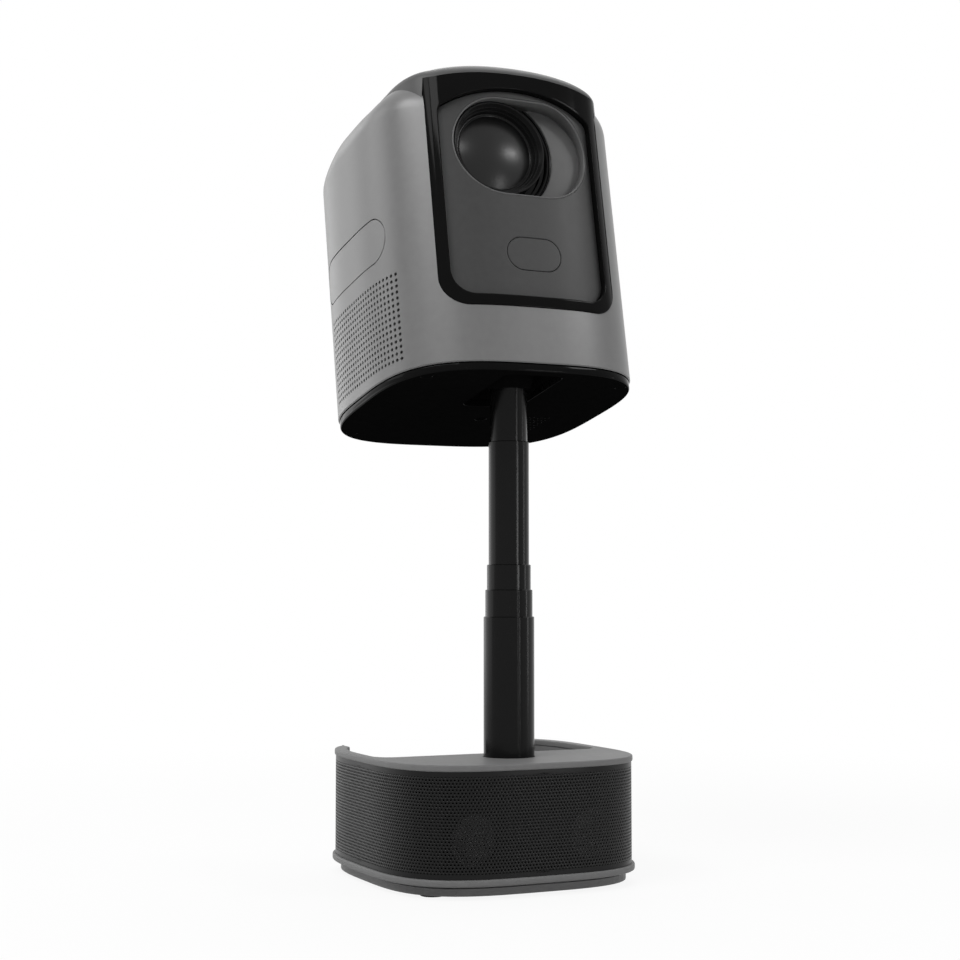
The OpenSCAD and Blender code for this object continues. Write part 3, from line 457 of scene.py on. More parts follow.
SHELL = surface("shell_satin", grey(0.130), 0.32, grain=2600, bump=0.10, vary=0.03, specular=0.45)
TRIM = surface("trim_satin", grey(0.155), 0.50, grain=2600, bump=0.12, vary=0.04, specular=0.15)
GLOSS = surface("gloss_black", grey(0.004), 0.07, grain=500, bump=0.008, vary=0.10, specular=0.035)
# The hood is black; its base colour is raised to dark grey as painted sheen, standing in for the lights'
# reflection on the black moulding.
HOOD_PAINTED_SHEEN = surface("hood_black_painted_sheen", grey(0.075), 0.40, grain=900, bump=0.02, vary=0.06, specular=0.14)
PANEL = surface("panel_satin", grey(0.048), 0.38, grain=2600, bump=0.06, vary=0.04, specular=0.15)
SATIN = surface("satin_black", grey(0.012), 0.38, grain=2200, bump=0.08, vary=0.10, specular=0.15)
MAST_BLACK = surface("mast_black", grey(0.003), 0.18, grain=1800, bump=0.01, vary=0.08, specular=0.12)
GRILLE = surface("grille_black", grey(0.003), 0.32, grain=2600, bump=0.06, vary=0.10, specular=0.18)
UNDER = surface("under_black", grey(0.003), 0.70, grain=2200, bump=0.08, vary=0.10, specular=0.0)
RUBBER = surface("rubber_black", grey(0.012), 0.75, grain=2200, bump=0.25, vary=0.10, specular=0.25)
BARREL = surface("barrel_black", grey(0.006), 0.24, grain=1800, bump=0.02, vary=0.08, specular=0.12)
# Grey for the gloss black well plate and wall, lighter than the panel: partly the plastic's own dark grey,
# partly painted reflection of the lights.
WELL_GREY_PAINTED_REFLECTION = surface("well_plate_painted_reflection", grey(0.100), 0.30, grain=1400, bump=0.03, vary=0.05, specular=0.20)
GLASS = surface("lens_glass", grey(0.003), 0.28, grain=300, bump=0.004, vary=0.15, specular=0.28)
STEEL = surface("steel", grey(0.55), 0.32, grain=1600, bump=0.06, vary=0.06, metallic=1.0)
IRON = surface("iron", grey(0.12), 0.55, grain=900, bump=0.20, vary=0.10, metallic=1.0)
ALUMINIUM = surface("aluminium", grey(0.65), 0.38, grain=1400, bump=0.08, vary=0.05, metallic=1.0)
BRASS = surface("brass", (0.65, 0.45, 0.16), 0.30, grain=1400, bump=0.05, vary=0.06, metallic=1.0)
SHEET = surface("clear_sheet", (0.45, 0.50, 0.50), 0.12, grain=700, bump=0.03, vary=0.04)
MIRROR = surface("mirror", grey(0.85), 0.05, grain=300, bump=0.005, vary=0.02, metallic=1.0)
BOARD = surface("board_green", (0.010, 0.060, 0.022), 0.45, grain=900, bump=0.10, vary=0.20)
WHITE = surface("white_plastic", grey(0.75), 0.55, grain=1800, bump=0.06, vary=0.03)
PAPER = surface("cone_paper", grey(0.25), 0.80, grain=1400, bump=0.30, vary=0.15, specular=0.2)


# Base

def base_rim():
    """Grey foot rim with rounded edges and the web that it is screwed by."""
    middle = RIM_EDGE - RIM_PROUD
    low = [(middle - RIM_EDGE * sin(a), RIM_LOW + RIM_EDGE * (1 - cos(a))) for a in quarter(4)]
    high = [(middle - RIM_EDGE * cos(a), RIM_TOP - RIM_EDGE * (1 - sin(a))) for a in quarter(4)]
    web = [(RIM_LIP, RIM_TOP), (RIM_LIP, WEB_TOP), (WEB_REACH, WEB_TOP)]
    profile = [(WEB_REACH, RIM_LOW)] + low + high + web
    loops = [[(x, y, z) for x, y in base_loop(inset)] for inset, z in profile]
    rim = make_object("foot_rim", loft(loops, closed=True), BASE)
    return dress(rim, TRIM, "base", "base_flange", slot="trim_grey")


def beside_bay(loop, gate):
    """What the rear bay's opening leaves of a loop, from the left end of the opening to the right one."""
    kept = [p for p in loop if p[1] < 0 or abs(p[0]) > gate]
    start = max(range(len(kept)), key=lambda i: dist(kept[i], kept[i - 1]))
    return kept[start:] + kept[:start]


def deck_outline():
    """U-shaped plan of the deck: the base outline with the rear bay taken out."""
    corner_x, corner_y = BASE_HW - BAY_WALL - BAY_CORNER, BAY_FRONT + BAY_CORNER
    inner = [p for p in base_loop(BAY_WALL, 480) if p[1] > corner_y and abs(p[0]) > BAY_GATE]
    left = sorted([p for p in inner if p[0] < 0], key=lambda p: -p[1])
    right = sorted([p for p in inner if p[0] > 0], key=lambda p: p[1])
    front = (arc(-corner_x, corner_y, BAY_CORNER, 180, 270, 10)
             + arc(corner_x, corner_y, BAY_CORNER, 270, 360, 10))
    bay = left + front + right
    return beside_bay(base_loop(-DECK_PROUD, 480), BAY_GATE) + bay[::-1]


def base_deck():
    """Grey top plate of the base with the hole for the mast."""
    hole = circle(0, (MAST.translation.y - BASE.translation.y) / MM, DECK_HOLE_R, 64)
    bm = plate([deck_outline(), hole], DECK_THICK, DECK_EDGE, hole_bevel=DECK_HOLE_EDGE)
    warp(bm, lambda x, y, z: (x, y, DECK_TOP + z))
    return dress(make_object("deck_plate", bm, BASE), TRIM, "base", "base_deck", slot="trim_grey")


def grille_path():
    """Points along the sheet in plan, and how far along it each one is."""
    path = beside_bay(base_loop(0.0, 1440), GRILLE_GATE)
    run = [0.0]
    for a, b in zip(path, path[1:]):
        run.append(run[-1] + dist(a, b))
    return path, run


def point_along(path, run, u):
    """Point of the sheet's plan at a distance from its left end."""
    u = min(max(u, 0.0), run[-1])
    k = min(bisect_right(run, u), len(run) - 1) - 1
    t = (u - run[k]) / (run[k + 1] - run[k])
    (x0, y0), (x1, y1) = path[k], path[k + 1]
    return x0 + t * (x1 - x0), y0 + t * (y1 - y0)


def base_grille():
    """Perforated sheet round the base, with a plain hem along its lower and its upper edge."""
    path, run = grille_path()
    height = GRILLE_TOP - GRILLE_LOW
    row_h, side = CELL_PITCH * sqrt(3) / 2, CELL_PITCH / sqrt(3)
    columns = int(run[-1] / CELL_PITCH) - 1
    rows = int((height - 2 * GRILLE_MARGIN) / row_h)
    pad_u = (run[-1] - (columns + 0.5) * CELL_PITCH) / 2
    pad_v = (height - (rows - 1) * row_h) / 2
    verts, faces, known = [], [], {}

    def vertex(u, v):
        key = (round(u * 100), round(v * 100))
        if key not in known:
            known[key] = len(verts)
            verts.append(point_along(path, run, u) + (v,))
        return known[key]

    angles = [radians(30 + 60 * k) for k in range(6)]
    for j in range(rows):
        for i in range(columns):
            u = pad_u + CELL_PITCH * (i + 0.5 + 0.5 * (j % 2))
            v = GRILLE_LOW + pad_v + row_h * j
            rim = [vertex(u + side * cos(a), v + side * sin(a)) for a in angles]
            hole = [vertex(u + CELL_HOLE_R * cos(a), v + CELL_HOLE_R * sin(a)) for a in angles]
            faces += [(rim[k - 1], rim[k], hole[k], hole[k - 1]) for k in range(6)]
    sheet = thicken(make_object("grille_sheet", from_lists(verts, faces), BASE), GRILLE_THICK)
    dress(sheet, GRILLE, "base", "base_grille", slot="grille_black")
    grille_hem("grille_hem_low", GRILLE_LOW, GRILLE_LOW + pad_v)
    grille_hem("grille_hem_top", GRILLE_TOP - pad_v, GRILLE_TOP)


def grille_hem(name, low, high):
    """Plain strip along an edge of the grille."""
    section = ((0.0, low), (0.0, high), (GRILLE_THICK, high), (GRILLE_THICK, low))
    loops = [[(x, y, z) for x, y in beside_bay(base_loop(inset, 1440), GRILLE_GATE)] for inset, z in section]
    slices = [list(points) for points in zip(*loops)]
    hem = make_object(name, loft(slices, cap_first=True, cap_last=True), BASE)
    return dress(hem, GRILLE, "base", slot="grille_black")


def base_feet():
    """Four rubber pads with a rounded edge."""
    edge = [(FOOT_R - FOOT_EDGE * (1 - cos(a)), FOOT_EDGE * (1 - sin(a))) for a in quarter(4)]
    profile = [(0, FOOT_H), (FOOT_R, FOOT_H)] + edge + [(0, 0)]
    bm = bmesh.new()
    for x in (-FOOT_X, FOOT_X):
        for y in (-FOOT_Y, FOOT_Y):
            add_mesh(bm, lathe(profile, 40, centre=(x, y)))
    return dress(make_object("foot_pads", bm, BASE), RUBBER, "base", "base_feet", slot="rubber")


# Mast

def mast_tube(number, body):
    """One tube of the mast with its flute and a chamfered mouth."""
    node = f"mast_tube_{number}"
    low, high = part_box(node)
    r = (high.x - low.x) / 2 / MM
    z0, z1 = low.z / MM, high.z / MM
    wall, chamfer, flute_hw, flute_deep, count = 0.85, 0.35, 1.0, 0.4, 120

    def ring(radius, z, fluted):
        points = []
        for i in range(count):
            a = -pi / 2 + 2 * pi * i / count
            x, y = radius * cos(a), radius * sin(a)
            if fluted and y < 0 and abs(x) < flute_hw:
                y += flute_deep
            points.append((x, y, z))
        return points

    loops = [ring(r, z0, True), ring(r, z1 - chamfer, True), ring(r - chamfer, z1, True),
             ring(r - wall, z1, False), ring(r - wall, z0, False)]
    tube = make_object(f"tube_{number}", loft(loops, closed=True), MAST, sharp=30)
    return dress(tube, MAST_BLACK, body, node, slot="mast_black")


def neck():
    """Conical neck with the tongue of the tilt hinge."""
    low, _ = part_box("neck_knuckle")
    foot, cone_h, grip, r_low, r_high, edge = low.z / MM, 10.0, 10.4, 12.4, 14.6, 0.8
    tongue_hw, tongue_r, sink = 6.5, 10.0, 1.0
    top = foot + cone_h
    bm = lathe([(grip, foot), (r_low - edge, foot), (r_low, foot + edge),
                (r_high, top - edge), (r_high - edge, top), (0, top)])
    outline = ([(-tongue_r, top - sink), (tongue_r, top - sink)]
               + arc(0, pivot.z / MM, tongue_r, 0, 180, 24))
    tongue = plate([outline], 2 * tongue_hw, edge)
    add_mesh(bm, warp(tongue, lambda y, z, x: (x + tongue_hw, y, z)))
    return dress(make_object("neck_cone", bm, MAST), UNDER, "neck", "neck_knuckle", slot="satin_black")


# Casing of the head

def shell_angles():
    """Polar angles of the shell's grid, with the columns of the vents on both sides."""
    ys = [VENT_Y0 + VENT_PITCH * k for k in range(VENT_COLS + 1)]
    right = [atan2(y, -head_left(y)) for y in ys]
    left = [atan2(y, head_left(y)) % (2 * pi) for y in reversed(ys)]
    arcs = 60
    rear = [right[-1] + (left[0] - right[-1]) * i / arcs for i in range(1, arcs)]
    front_start, front_end = left[-1], right[0] + 2 * pi
    front = [front_start + (front_end - front_start) * i / arcs for i in range(1, arcs)]
    return right + rear + left + front, (0, len(right) + len(rear))


def shell_rings():
    """Inset and height of each ring of the shell, from below to the roof, and the first ring of vents."""
    straight, hem, rows_up, rows_in = SHELL_H - SHELL_EDGE, 3.0, 14, 12
    vent_rows = [VENT_S0 + VENT_PITCH * k for k in range(VENT_ROWS + 1)]
    above = vent_rows[-1]
    plain = [SHELL_CHAMFER, hem]
    heights = plain + vent_rows + [above + (straight - above) * i / rows_up for i in range(1, rows_up + 1)]
    rings = [(SHELL_CHAMFER, 0.0)] + [(0.0, s) for s in heights]
    rings += [(SHELL_EDGE * (1 - cos(a)), straight + SHELL_EDGE * sin(a)) for a in quarter(20)[1:]]
    rings += [(SHELL_EDGE + (HEAD_HW - SHELL_EDGE) * i / rows_in, SHELL_H) for i in range(1, rows_in)]
    return rings, 1 + len(plain)


def ease(start, end, at):
    """Smooth step from 0 at start to 1 at end."""
    t = min(max((at - start) / (end - start), 0.0), 1.0)
    return t * t * (3 - 2 * t)


def lifted(y, s):
    """Height of a point of the shell, whose upper half follows the roof as that rises to the front."""
    crown = CROWN_RISE * ease(CROWN_FOOT, CROWN_TOP, y)
    shoulder = SHOULDER_RISE * ease(SHOULDER_FOOT, SHOULDER_TOP, y)
    return s + (crown + shoulder) * max(s - STRETCH_FOOT, 0) / (SHELL_H - STRETCH_FOOT)


def vent_cell(verts, corners, middle_s):
    """Faces between the corners of a cell and its round vent, whose points are added to the list."""
    side = 1 if verts[corners[0]][0] > 0 else -1
    middle_y = (verts[corners[0]][1] + verts[corners[1]][1]) / 2
    first = len(verts)
    for k in range(12):
        a = radians(225 + 30 * k)
        y = middle_y + side * VENT_R * cos(a)
        verts.append((-side * head_left(y), y, middle_s + VENT_R * sin(a)))
    return [(corners[(q + 1) % 4], corners[q]) + tuple(first + (3 * q + m) % 12 for m in range(4))
            for q in range(4)]


def shell_skin():
    """Outer skin of the shell, with a round hole in each cell of the vents."""
    angles, vent_starts = shell_angles()
    rings, vent_ring = shell_rings()
    count, last = len(angles), len(rings) - 1
    verts, faces = [], []
    for inset, s in rings:
        for a in angles:
            x, y = squircle(HEAD_HW - inset, HEAD_HD - inset, HEAD_ROUND, a)
            verts.append((x, y, lifted(y, s)))
    for j in range(last):
        in_rows = vent_ring <= j < vent_ring + VENT_ROWS
        for i in range(count):
            k = (i + 1) % count
            corners = (j * count + i, j * count + k, (j + 1) * count + k, (j + 1) * count + i)
            if in_rows and any(start <= i < start + VENT_COLS for start in vent_starts):
                faces += vent_cell(verts, corners, (rings[j][1] + rings[j + 1][1]) / 2)
            else:
                faces.append(corners)
    faces.append(tuple(range(last * count, (last + 1) * count)))
    return from_lists(verts, faces)


def bezel_window():
    """Cutter for the bezel, open to the front."""
    gap, back, deep, top_corner = 0.15, -60.0, 60.0, 3.0
    window = soft_rect(-BEZEL_HW - gap, BEZEL_HW + gap, BEZEL_LOW - gap, HOOD_TOP,
                       BEZEL_CORNER + gap, top_corner)
    return warp(plate([window], deep, CUTTER_EDGE), lambda x, s, z: (x, back + z, s))


def hood_opening():
    """Cutter for the hood, a little smaller than its plan."""
    overlap = 0.4
    plan = offset(hood_plan(), overlap)
    loops = [[(x, y, s) for x, y in plan] for s in (STRETCH_FOOT, 2 * SHELL_H)]
    return loft(loops, cap_first=True, cap_last=True)


def cover_pocket():
    """Cutter for the side cover with a groove round it, as slices across the pill."""
    groove, deep, clear, steps, end = 0.6, 1.3, 4.0, 16, radians(8)
    r = (COVER_S[1] - COVER_S[0]) / 2
    mid, reach = (COVER_S[0] + COVER_S[1]) / 2, r + groove
    turns = [end + (pi / 2 - end) * i / steps for i in range(steps + 1)]
    front = [(COVER_Y[0] + r - reach * cos(a), reach * sin(a)) for a in turns]
    back = [(COVER_Y[1] - r + reach * cos(a), reach * sin(a)) for a in reversed(turns)]
    run = back[0][0] - front[-1][0]
    middle = [(front[-1][0] + run * i / steps, reach) for i in range(1, steps)]
    slices = []
    for y, half in front + middle + back:
        inside, outside = head_left(y, deep), head_left(y) - clear
        slices.append([(inside, y, mid - half), (outside, y, mid - half),
                       (outside, y, mid + half), (inside, y, mid + half)])
    return loft(slices, cap_first=True, cap_last=True)


def socket_window():
    """Cutter for the socket panel at the rear."""
    deep, clear = 20.0, 7.5
    window = soft_rect(-IO_HW - IO_GAP, IO_HW + IO_GAP, IO_LOW - IO_GAP, IO_TOP + IO_GAP,
                       IO_CORNER, IO_CORNER)
    return warp(plate([window], deep, CUTTER_EDGE), lambda x, s, z: (x, HEAD_HD + clear + z, s))


def key_hole():
    """Cutter for the power button in the roof."""
    r, low, high = KEY_R + KEY_GAP, 140.0, 170.0
    return lathe([(0, low), (r, low), (r, high), (0, high)], 64, centre=(0, KEY_Y))


def head_shell():
    """Grey shell of the head, with its openings cut."""
    shell = thicken(make_object("head_casing", shell_skin(), HEAD, sharp=SHELL_CREASE), SHELL_WALL)
    for cutter in (bezel_window, hood_opening, cover_pocket, socket_window, key_hole):
        cut(shell, make_object("cutter", cutter(), HEAD))
    shell.data.shade_smooth()
    shell.data.set_sharp_from_angle(angle=radians(SHELL_CREASE))
    return dress(shell, SHELL, "head", "head_shell", slot="shell_grey")


def side_cover():
    """Pill-shaped cover let into the left side."""
    thick, edge, strip, sink = 0.85, 0.3, 3, 0.05
    bm = slice_along(plate([cover_outline()], thick, edge), 0, strip)
    warp(bm, lambda y, s, z: (head_left(y, sink) - z, y, s))
    return dress(make_object("side_pill", bm, HEAD), SHELL, "head", "side_cover", slot="shell_grey")


def front_bezel():
    """Gloss black ring round the front panel; its top edge follows the crown of the hood."""
    across, overlap, strip, edge, inner_edge = 54, 0.2, 1.5, 0.5, 0.7
    xs = [BEZEL_HW * (1 - 2 * i / across) for i in range(across + 1)]
    top = [(x, hood_height(x, HOOD_FLAT) - HOOD_EDGE + overlap) for x in xs]
    corner_x, corner_s = BEZEL_HW - BEZEL_CORNER, BEZEL_LOW + BEZEL_CORNER
    outer = (arc(corner_x, corner_s, BEZEL_CORNER, -90, 0, 14) + top
             + arc(-corner_x, corner_s, BEZEL_CORNER, 180, 270, 14))
    bm = slice_along(plate([outer, panel_outline()], BEZEL_DEEP, edge, hole_bevel=inner_edge), 0, strip)
    warp(bm, lambda x, s, z: (x, bezel_front(x) - z, s))
    ring = make_object("bezel_ring", bm, HEAD, sharp=30)
    return dress(ring, GLOSS, "head", "front_bezel", slot="gloss_black")


def hood_plan():
    """Plan of the hood: the bezel's front, its curved flanks, straight sides and a round rear."""
    proud, across, turns, sides, rear = 0.08, 40, 16, 12, 10
    corner_x, corner_y = HOOD_HW - HOOD_REAR_R, HOOD_BACK - HOOD_REAR_R
    front_x = [CREASE_X * (2 * i / across - 1) for i in range(across + 1)]
    flank_x = [HOOD_HW - (HOOD_HW - CREASE_X) * (1 - i / turns) ** 2 for i in range(1, turns + 1)]
    front, flank = ([(x, bezel_front(x) - proud) for x in xs] for xs in (front_x, flank_x))
    side = [(HOOD_HW, HOOD_SIDE_Y + (corner_y - HOOD_SIDE_Y) * i / sides) for i in range(1, sides)]
    right = flank + side + arc(corner_x, corner_y, HOOD_REAR_R, 0, 90, 10)
    back = [(corner_x * (1 - i / rear), HOOD_BACK) for i in range(1, 2 * rear)]
    return front + right + back + [(-x, y) for x, y in reversed(right)]


def hood_height(x, y):
    """Height of the hood's crowned top, which falls and flattens towards the rear."""
    run = min(max((y - HOOD_FLAT) / (HOOD_BACK - HOOD_FLAT), 0), 1)
    fall = HOOD_TOP - SHELL_H - HOOD_TAIL
    crown = (1 - run) * min(abs(x), CREASE_X) ** 2 / (2 * HOOD_CROWN_R)
    return HOOD_TOP - crown - fall * run * run * (2 - run)


def hood():
    """Satin hood over the lens, one moulding with the bezel: skirt, rounded edge and crowned top."""
    steps, rings, overlap, front_y, middle_y = 10, 12, 0.8, -60.0, -28.0
    plan = hood_plan()
    skirt = []
    for x, y in plan:
        on_bezel = abs(x) <= BEZEL_HW and y < front_y
        skirt.append((x, y, hood_height(x, y) - HOOD_EDGE - overlap if on_bezel else HOOD_SKIRT))
    loops = [skirt]
    for i in range(steps + 1):
        a = HOOD_CREASE + (pi / 2 - HOOD_CREASE) * i / steps
        up = HOOD_EDGE * (sin(a) - sin(HOOD_CREASE)) / (1 - sin(HOOD_CREASE))
        edge = offset(plan, HOOD_EDGE * (1 - cos(a) / cos(HOOD_CREASE)))
        loops.append([(x, y, hood_height(x, y) - HOOD_EDGE + up) for x, y in edge])
    for i in range(1, rings):
        t = 1 - i / rings
        ring = [(x * t, middle_y + (y - middle_y) * t) for x, y in offset(plan, HOOD_EDGE)]
        loops.append([(x, y, hood_height(x, y)) for x, y in ring])
    piece = make_object("bezel_hood", loft(loops, cap_last=True), HEAD, sharp=22)
    # The black hood takes the dark grey of painted sheen in place of its reflections.
    return dress(piece, HOOD_PAINTED_SHEEN, "head", slot="gloss_black")


def on_panel(bm):
    """Bends a flat plate to the curve of the panel."""
    strip = 3
    return warp(slice_along(bm, 0, strip), lambda x, s, z: (x, head_front(x, PANEL_SINK) - z, s))


def fascia():
    """Satin panel with the lens opening and the sensor window."""
    gap, groove, edge = 0.15, 0.3, 0.4
    outlines = [panel_outline(-gap), well_outline(), window_outline(groove)]
    bm = on_panel(plate(outlines, PANEL_THICK, edge))
    return dress(make_object("front_panel", bm, HEAD), PANEL, "head", "fascia_panel", slot="panel_grey")


def ir_window():
    """Pill-shaped sensor window, flush with the panel."""
    edge = 0.35
    bm = on_panel(plate([window_outline()], PANEL_THICK, edge))
    return dress(make_object("sensor_window", bm, HEAD), PANEL, "head", "ir_window", slot="panel_grey")


def under_plate():
    """Black underside with its gloss edge, the hinge pocket's mouth, the vents, the screws and the inlet."""
    hole_edge, support = 0.2, 0.15
    vents = [circle(DRAIN_X + DRAIN_PITCH * i, DRAIN_Y + DRAIN_PITCH * j, DRAIN_R, 16)
             for i in range(5) for j in range(6)]
    screws = [circle(x, y, SCREW_R, 32) for x in (-SCREW_X, SCREW_X) for y in (-SCREW_Y, SCREW_Y)]
    inlet = circle(INLET_X, INLET_Y, INLET_R, 32)
    outlines = [head_loop(UNDER_INSET), pocket_outline(), inlet] + vents + screws
    bm = plate(outlines, UNDER_THICK, UNDER_EDGE, hole_bevel=hole_edge, support=support)
    piece = make_object("under_plate", warp(bm, lambda x, y, z: (x, y, UNDER_LOW - z)), HEAD)
    dress(piece, GLOSS, "head", "bottom_plate", slot="gloss_black")
    piece.data.materials.append(UNDER)
    down = HEAD.to_3x3() @ Vector((0, 0, -1 / MM))
    for face in piece.data.polygons:
        face.material_index = int(face.normal.dot(down) > FLAT)


def hinge_pocket():
    """Closed box round the tilt hinge, above the underside."""
    loops = [[(x, y, s) for x, y in pocket_outline(POCKET_WALL)] for s in (POCKET_LOW, POCKET_TOP)]
    box = thicken(make_object("hinge_pocket", loft(loops, cap_last=True), HEAD), POCKET_WALL)
    return dress(box, UNDER, "head", slot="satin_black")


# Lens

# Rounded front edge of the barrel: distance in from its rim and back from its front
RING_EDGE = ((0.0, 0.6), (0.2, 0.15), (0.6, 0.0), (1.1, 0.15))

# Stepped ring round the lens: radius and depth
WELL_STEPS = [(36.3, -62.4), (36.3, -63.2), (35.8, -63.5), (35.3, -63.2), (35.1, -62.0), (34.2, -61.8),
              (34.0, -62.4), (33.6, -62.6), (33.2, -62.2), (33.0, -60.4), (31.4, -60.0), (31.2, -57.0),
              (28.6, -56.5), (28.6, -50.0)]


def front_lathe(name, profile, material, body, *replaced, slot=None):
    """A turned piece on the lens axis; its profile gives radius and depth."""
    bm = lathe(profile, 128, axis="Y", centre=(LENS_X, LENS_S))
    return dress(make_object(name, bm, HEAD, sharp=35), material, body, *replaced, slot=slot)


def lens_ring():
    """Focusing barrel with a rounded front edge and a stepped mouth that narrows to the glass."""
    steps, lip, lip_deep, seat, slant, tread, gap, floor_deep = 3, 1.4, 0.8, 0.9, 0.25, 0.3, 0.2, 2.0
    wide, narrow, front = RING_R - lip, GLASS_R + seat, RING_FRONT + lip_deep
    rs = [wide + (narrow - wide) * i / steps for i in range(steps + 1)]
    ys = [front + (GLASS_Y - front) * i / steps for i in range(steps + 1)]
    profile = [(BARREL_R, BARREL_BACK), (BARREL_R, RING_BACK), (RING_R, RING_BACK)]
    profile += [(RING_R - inside, RING_FRONT + back) for inside, back in RING_EDGE]
    for i in range(steps):
        profile += [(rs[i], ys[i]), (rs[i + 1] + slant, ys[i + 1] - tread), (rs[i + 1], ys[i + 1] - tread)]
    seat_r, floor_y = GLASS_R + gap, GLASS_Y + floor_deep
    profile += [(seat_r, GLASS_Y), (seat_r, floor_y), (0, floor_y)]
    return front_lathe("lens_ring", profile, BARREL, "focus", "focus_barrel", slot="satin_black")


def glass_retainer():
    """Thin ring that holds the edge of the glass."""
    section = ((0.5, -0.1), (0.4, -0.4), (0.1, -0.5), (-0.3, -0.3), (-0.3, 0.5))
    profile = [(GLASS_R + out, GLASS_Y + back) for out, back in section]
    return front_lathe("glass_retainer", profile, BARREL, "focus", slot="satin_black")


def glass_dome():
    """Domed front of the lens."""
    steps, thick = 24, 1.0
    ball = (GLASS_R ** 2 + GLASS_BULGE ** 2) / (2 * GLASS_BULGE)
    centre_y = GLASS_Y + ball - GLASS_BULGE
    rim = atan2(GLASS_R, ball - GLASS_BULGE)
    turns = [rim * i / steps for i in range(steps + 1)]
    profile = [(ball * sin(a), centre_y - ball * cos(a)) for a in turns]
    profile += [(GLASS_R, GLASS_Y + thick), (0, GLASS_Y + thick)]
    return front_lathe("glass_dome", profile, GLASS, "focus", "front_lens", slot="glass")


def well_wall():
    """Wall of the lens opening, rounded at the panel."""
    wall, inset, foot = 0.9, 0.2, 4.0
    outline = well_outline()
    loops = []
    for inside, back in ((-0.05, 0.3), (0.1, 0.8), (inset, 1.6)):
        loops.append([(x, head_front(x, PANEL_SINK) + back, s) for x, s in offset(outline, inside)])
    loops.append([(x, WELL_FLOOR + foot, s) for x, s in offset(outline, inset)])
    piece = thicken(make_object("well_wall", loft(loops), HEAD), wall)
    # The gloss black wall takes the grey that is partly painted reflection.
    return dress(piece, WELL_GREY_PAINTED_REFLECTION, "head", slot="gloss_black")


def well_crescent():
    """Crescent-shaped plate beside the lens."""
    thick, edge, overlap, count = 1.4, 0.4, 0.6, 40
    spread = degrees(atan2(WELL_R, sqrt(WELL_RING_R ** 2 - WELL_R ** 2)))
    outline = (arc(LENS_X + WELL_RUN, LENS_S, WELL_R + overlap, -90, 90, count)
               + arc(LENS_X, LENS_S, WELL_RING_R, spread, -spread, count))
    bm = warp(plate([outline], thick, edge), lambda x, s, z: (x, WELL_FLOOR - z, s))
    # The gloss black crescent plate takes the grey that is partly painted reflection.
    return dress(make_object("well_crescent", bm, HEAD), WELL_GREY_PAINTED_REFLECTION, "head", "lens_well", slot="gloss_black")


def well_ring():
    """Stepped ring round the lens."""
    return front_lathe("well_ring", WELL_STEPS, BARREL, "head", slot="satin_black")


# Rear and top

def io_panel():
    """Recessed socket panel at the rear."""
    corner, edge, hole_edge = IO_CORNER - IO_GAP, 0.5, 0.25
    outlines = [soft_rect(-IO_HW, IO_HW, IO_LOW, IO_TOP, corner, corner)]
    for x, half in SOCKETS:
        outlines.append(soft_rect(x - half, x + half, SOCKET_LOW, SOCKET_TOP,
                                  SOCKET_CORNER, SOCKET_CORNER, 4))
    bm = plate(outlines, IO_THICK, edge, hole_bevel=hole_edge)
    warp(bm, lambda x, s, z: (x, HEAD_HD - IO_SINK + z, s))
    return dress(make_object("socket_panel", bm, HEAD), SATIN, "head", "io_panel", slot="satin_black")


def power_button():
    """Dished round button on the roof, with a collar under the shell."""
    top, under = SHELL_H + KEY_PROUD, SHELL_H - SHELL_WALL
    collar_top, collar_low = under - 0.15, under - 1.3
    profile = [(0, top - 0.5), (KEY_R / 2, top - 0.38), (KEY_R - 1.6, top - 0.1)]
    profile += [(KEY_R - KEY_EDGE * (1 - sin(a)), top - KEY_EDGE * (1 - cos(a))) for a in quarter(4)]
    profile += [(KEY_R, collar_top), (KEY_COLLAR_R, collar_top), (KEY_COLLAR_R, collar_low), (0, collar_low)]
    bm = lathe(profile, 64, centre=(0, KEY_Y))
    return dress(make_object("power_key", bm, HEAD), SATIN, "button", "power_button", slot="satin_black")


# Nodes that keep their solid

NODE_LOOKS = {
    TRIM: ["base_pan"],
    SATIN: ["base_body", "mast_socket", "lens_barrel", "optics_housing", "fan_frame", "fan_rotor",
            "dc_inlet", "speaker_frames"],
    PAPER: ["speaker_cones"],
    IRON: ["speaker_magnets", "counterweight"],
    BOARD: ["amplifier_board", "main_board", "button_board"],
    STEEL: ["base_screws", "tilt_bracket", "tilt_pin", "tilt_washers", "tilt_nut", "focus_motor",
            "hdmi_port", "usb_ports"],
    UNDER: ["bottom_screws"],
    BRASS: ["focus_screw"],
    GLASS: ["rear_lens", "lcd_panel"],
    MIRROR: ["fold_mirror"],
    SHEET: ["upper_fresnel", "lower_fresnel"],
    WHITE: ["light_cone", "led_module"],
    ALUMINIUM: ["heat_sink"],
}


def dress_nodes():
    """Gives the nodes that keep their solid their materials."""
    for material, names in NODE_LOOKS.items():
        for name in names:
            mesh = frame["nodes"][name].data
            mesh.materials.clear()
            mesh.materials.append(material)


def dress_bay():
    """Gives the upright walls of the rear bay the grey of the deck."""
    body = frame["nodes"]["base_body"]
    body.data.materials.append(TRIM)
    to_base = BASE.inverted() @ body.matrix_world
    turn = body.matrix_world.to_3x3()
    for face in body.data.polygons:
        x, y, z = to_base @ face.center
        normal = turn @ face.normal
        inward = normal.y * (BAY_MIDDLE - y) - normal.x * x > 0 and abs(normal.z) < 1 - FLAT
        if abs(x) < BASE_HW - BAY_WALL / 2 and y > BAY_FRONT - BAY_WALL / 2 and z > BAY_FLOOR and inward:
            face.material_index = 1


# Stage, light and camera

# Strength of the plain light from all round
AMBIENT = 0.12

# Camera fitted to the photograph: place from the middle of the base in metres, turn in degrees, lens
CAMERA_X, CAMERA_Y, CAMERA_Z, CAMERA_TURN, CAMERA_RISE = -0.4399, -0.9330, 0.16355, -25.22, 3.529
LENS_LENGTH, SENSOR_WIDTH = 66.63, 36.0


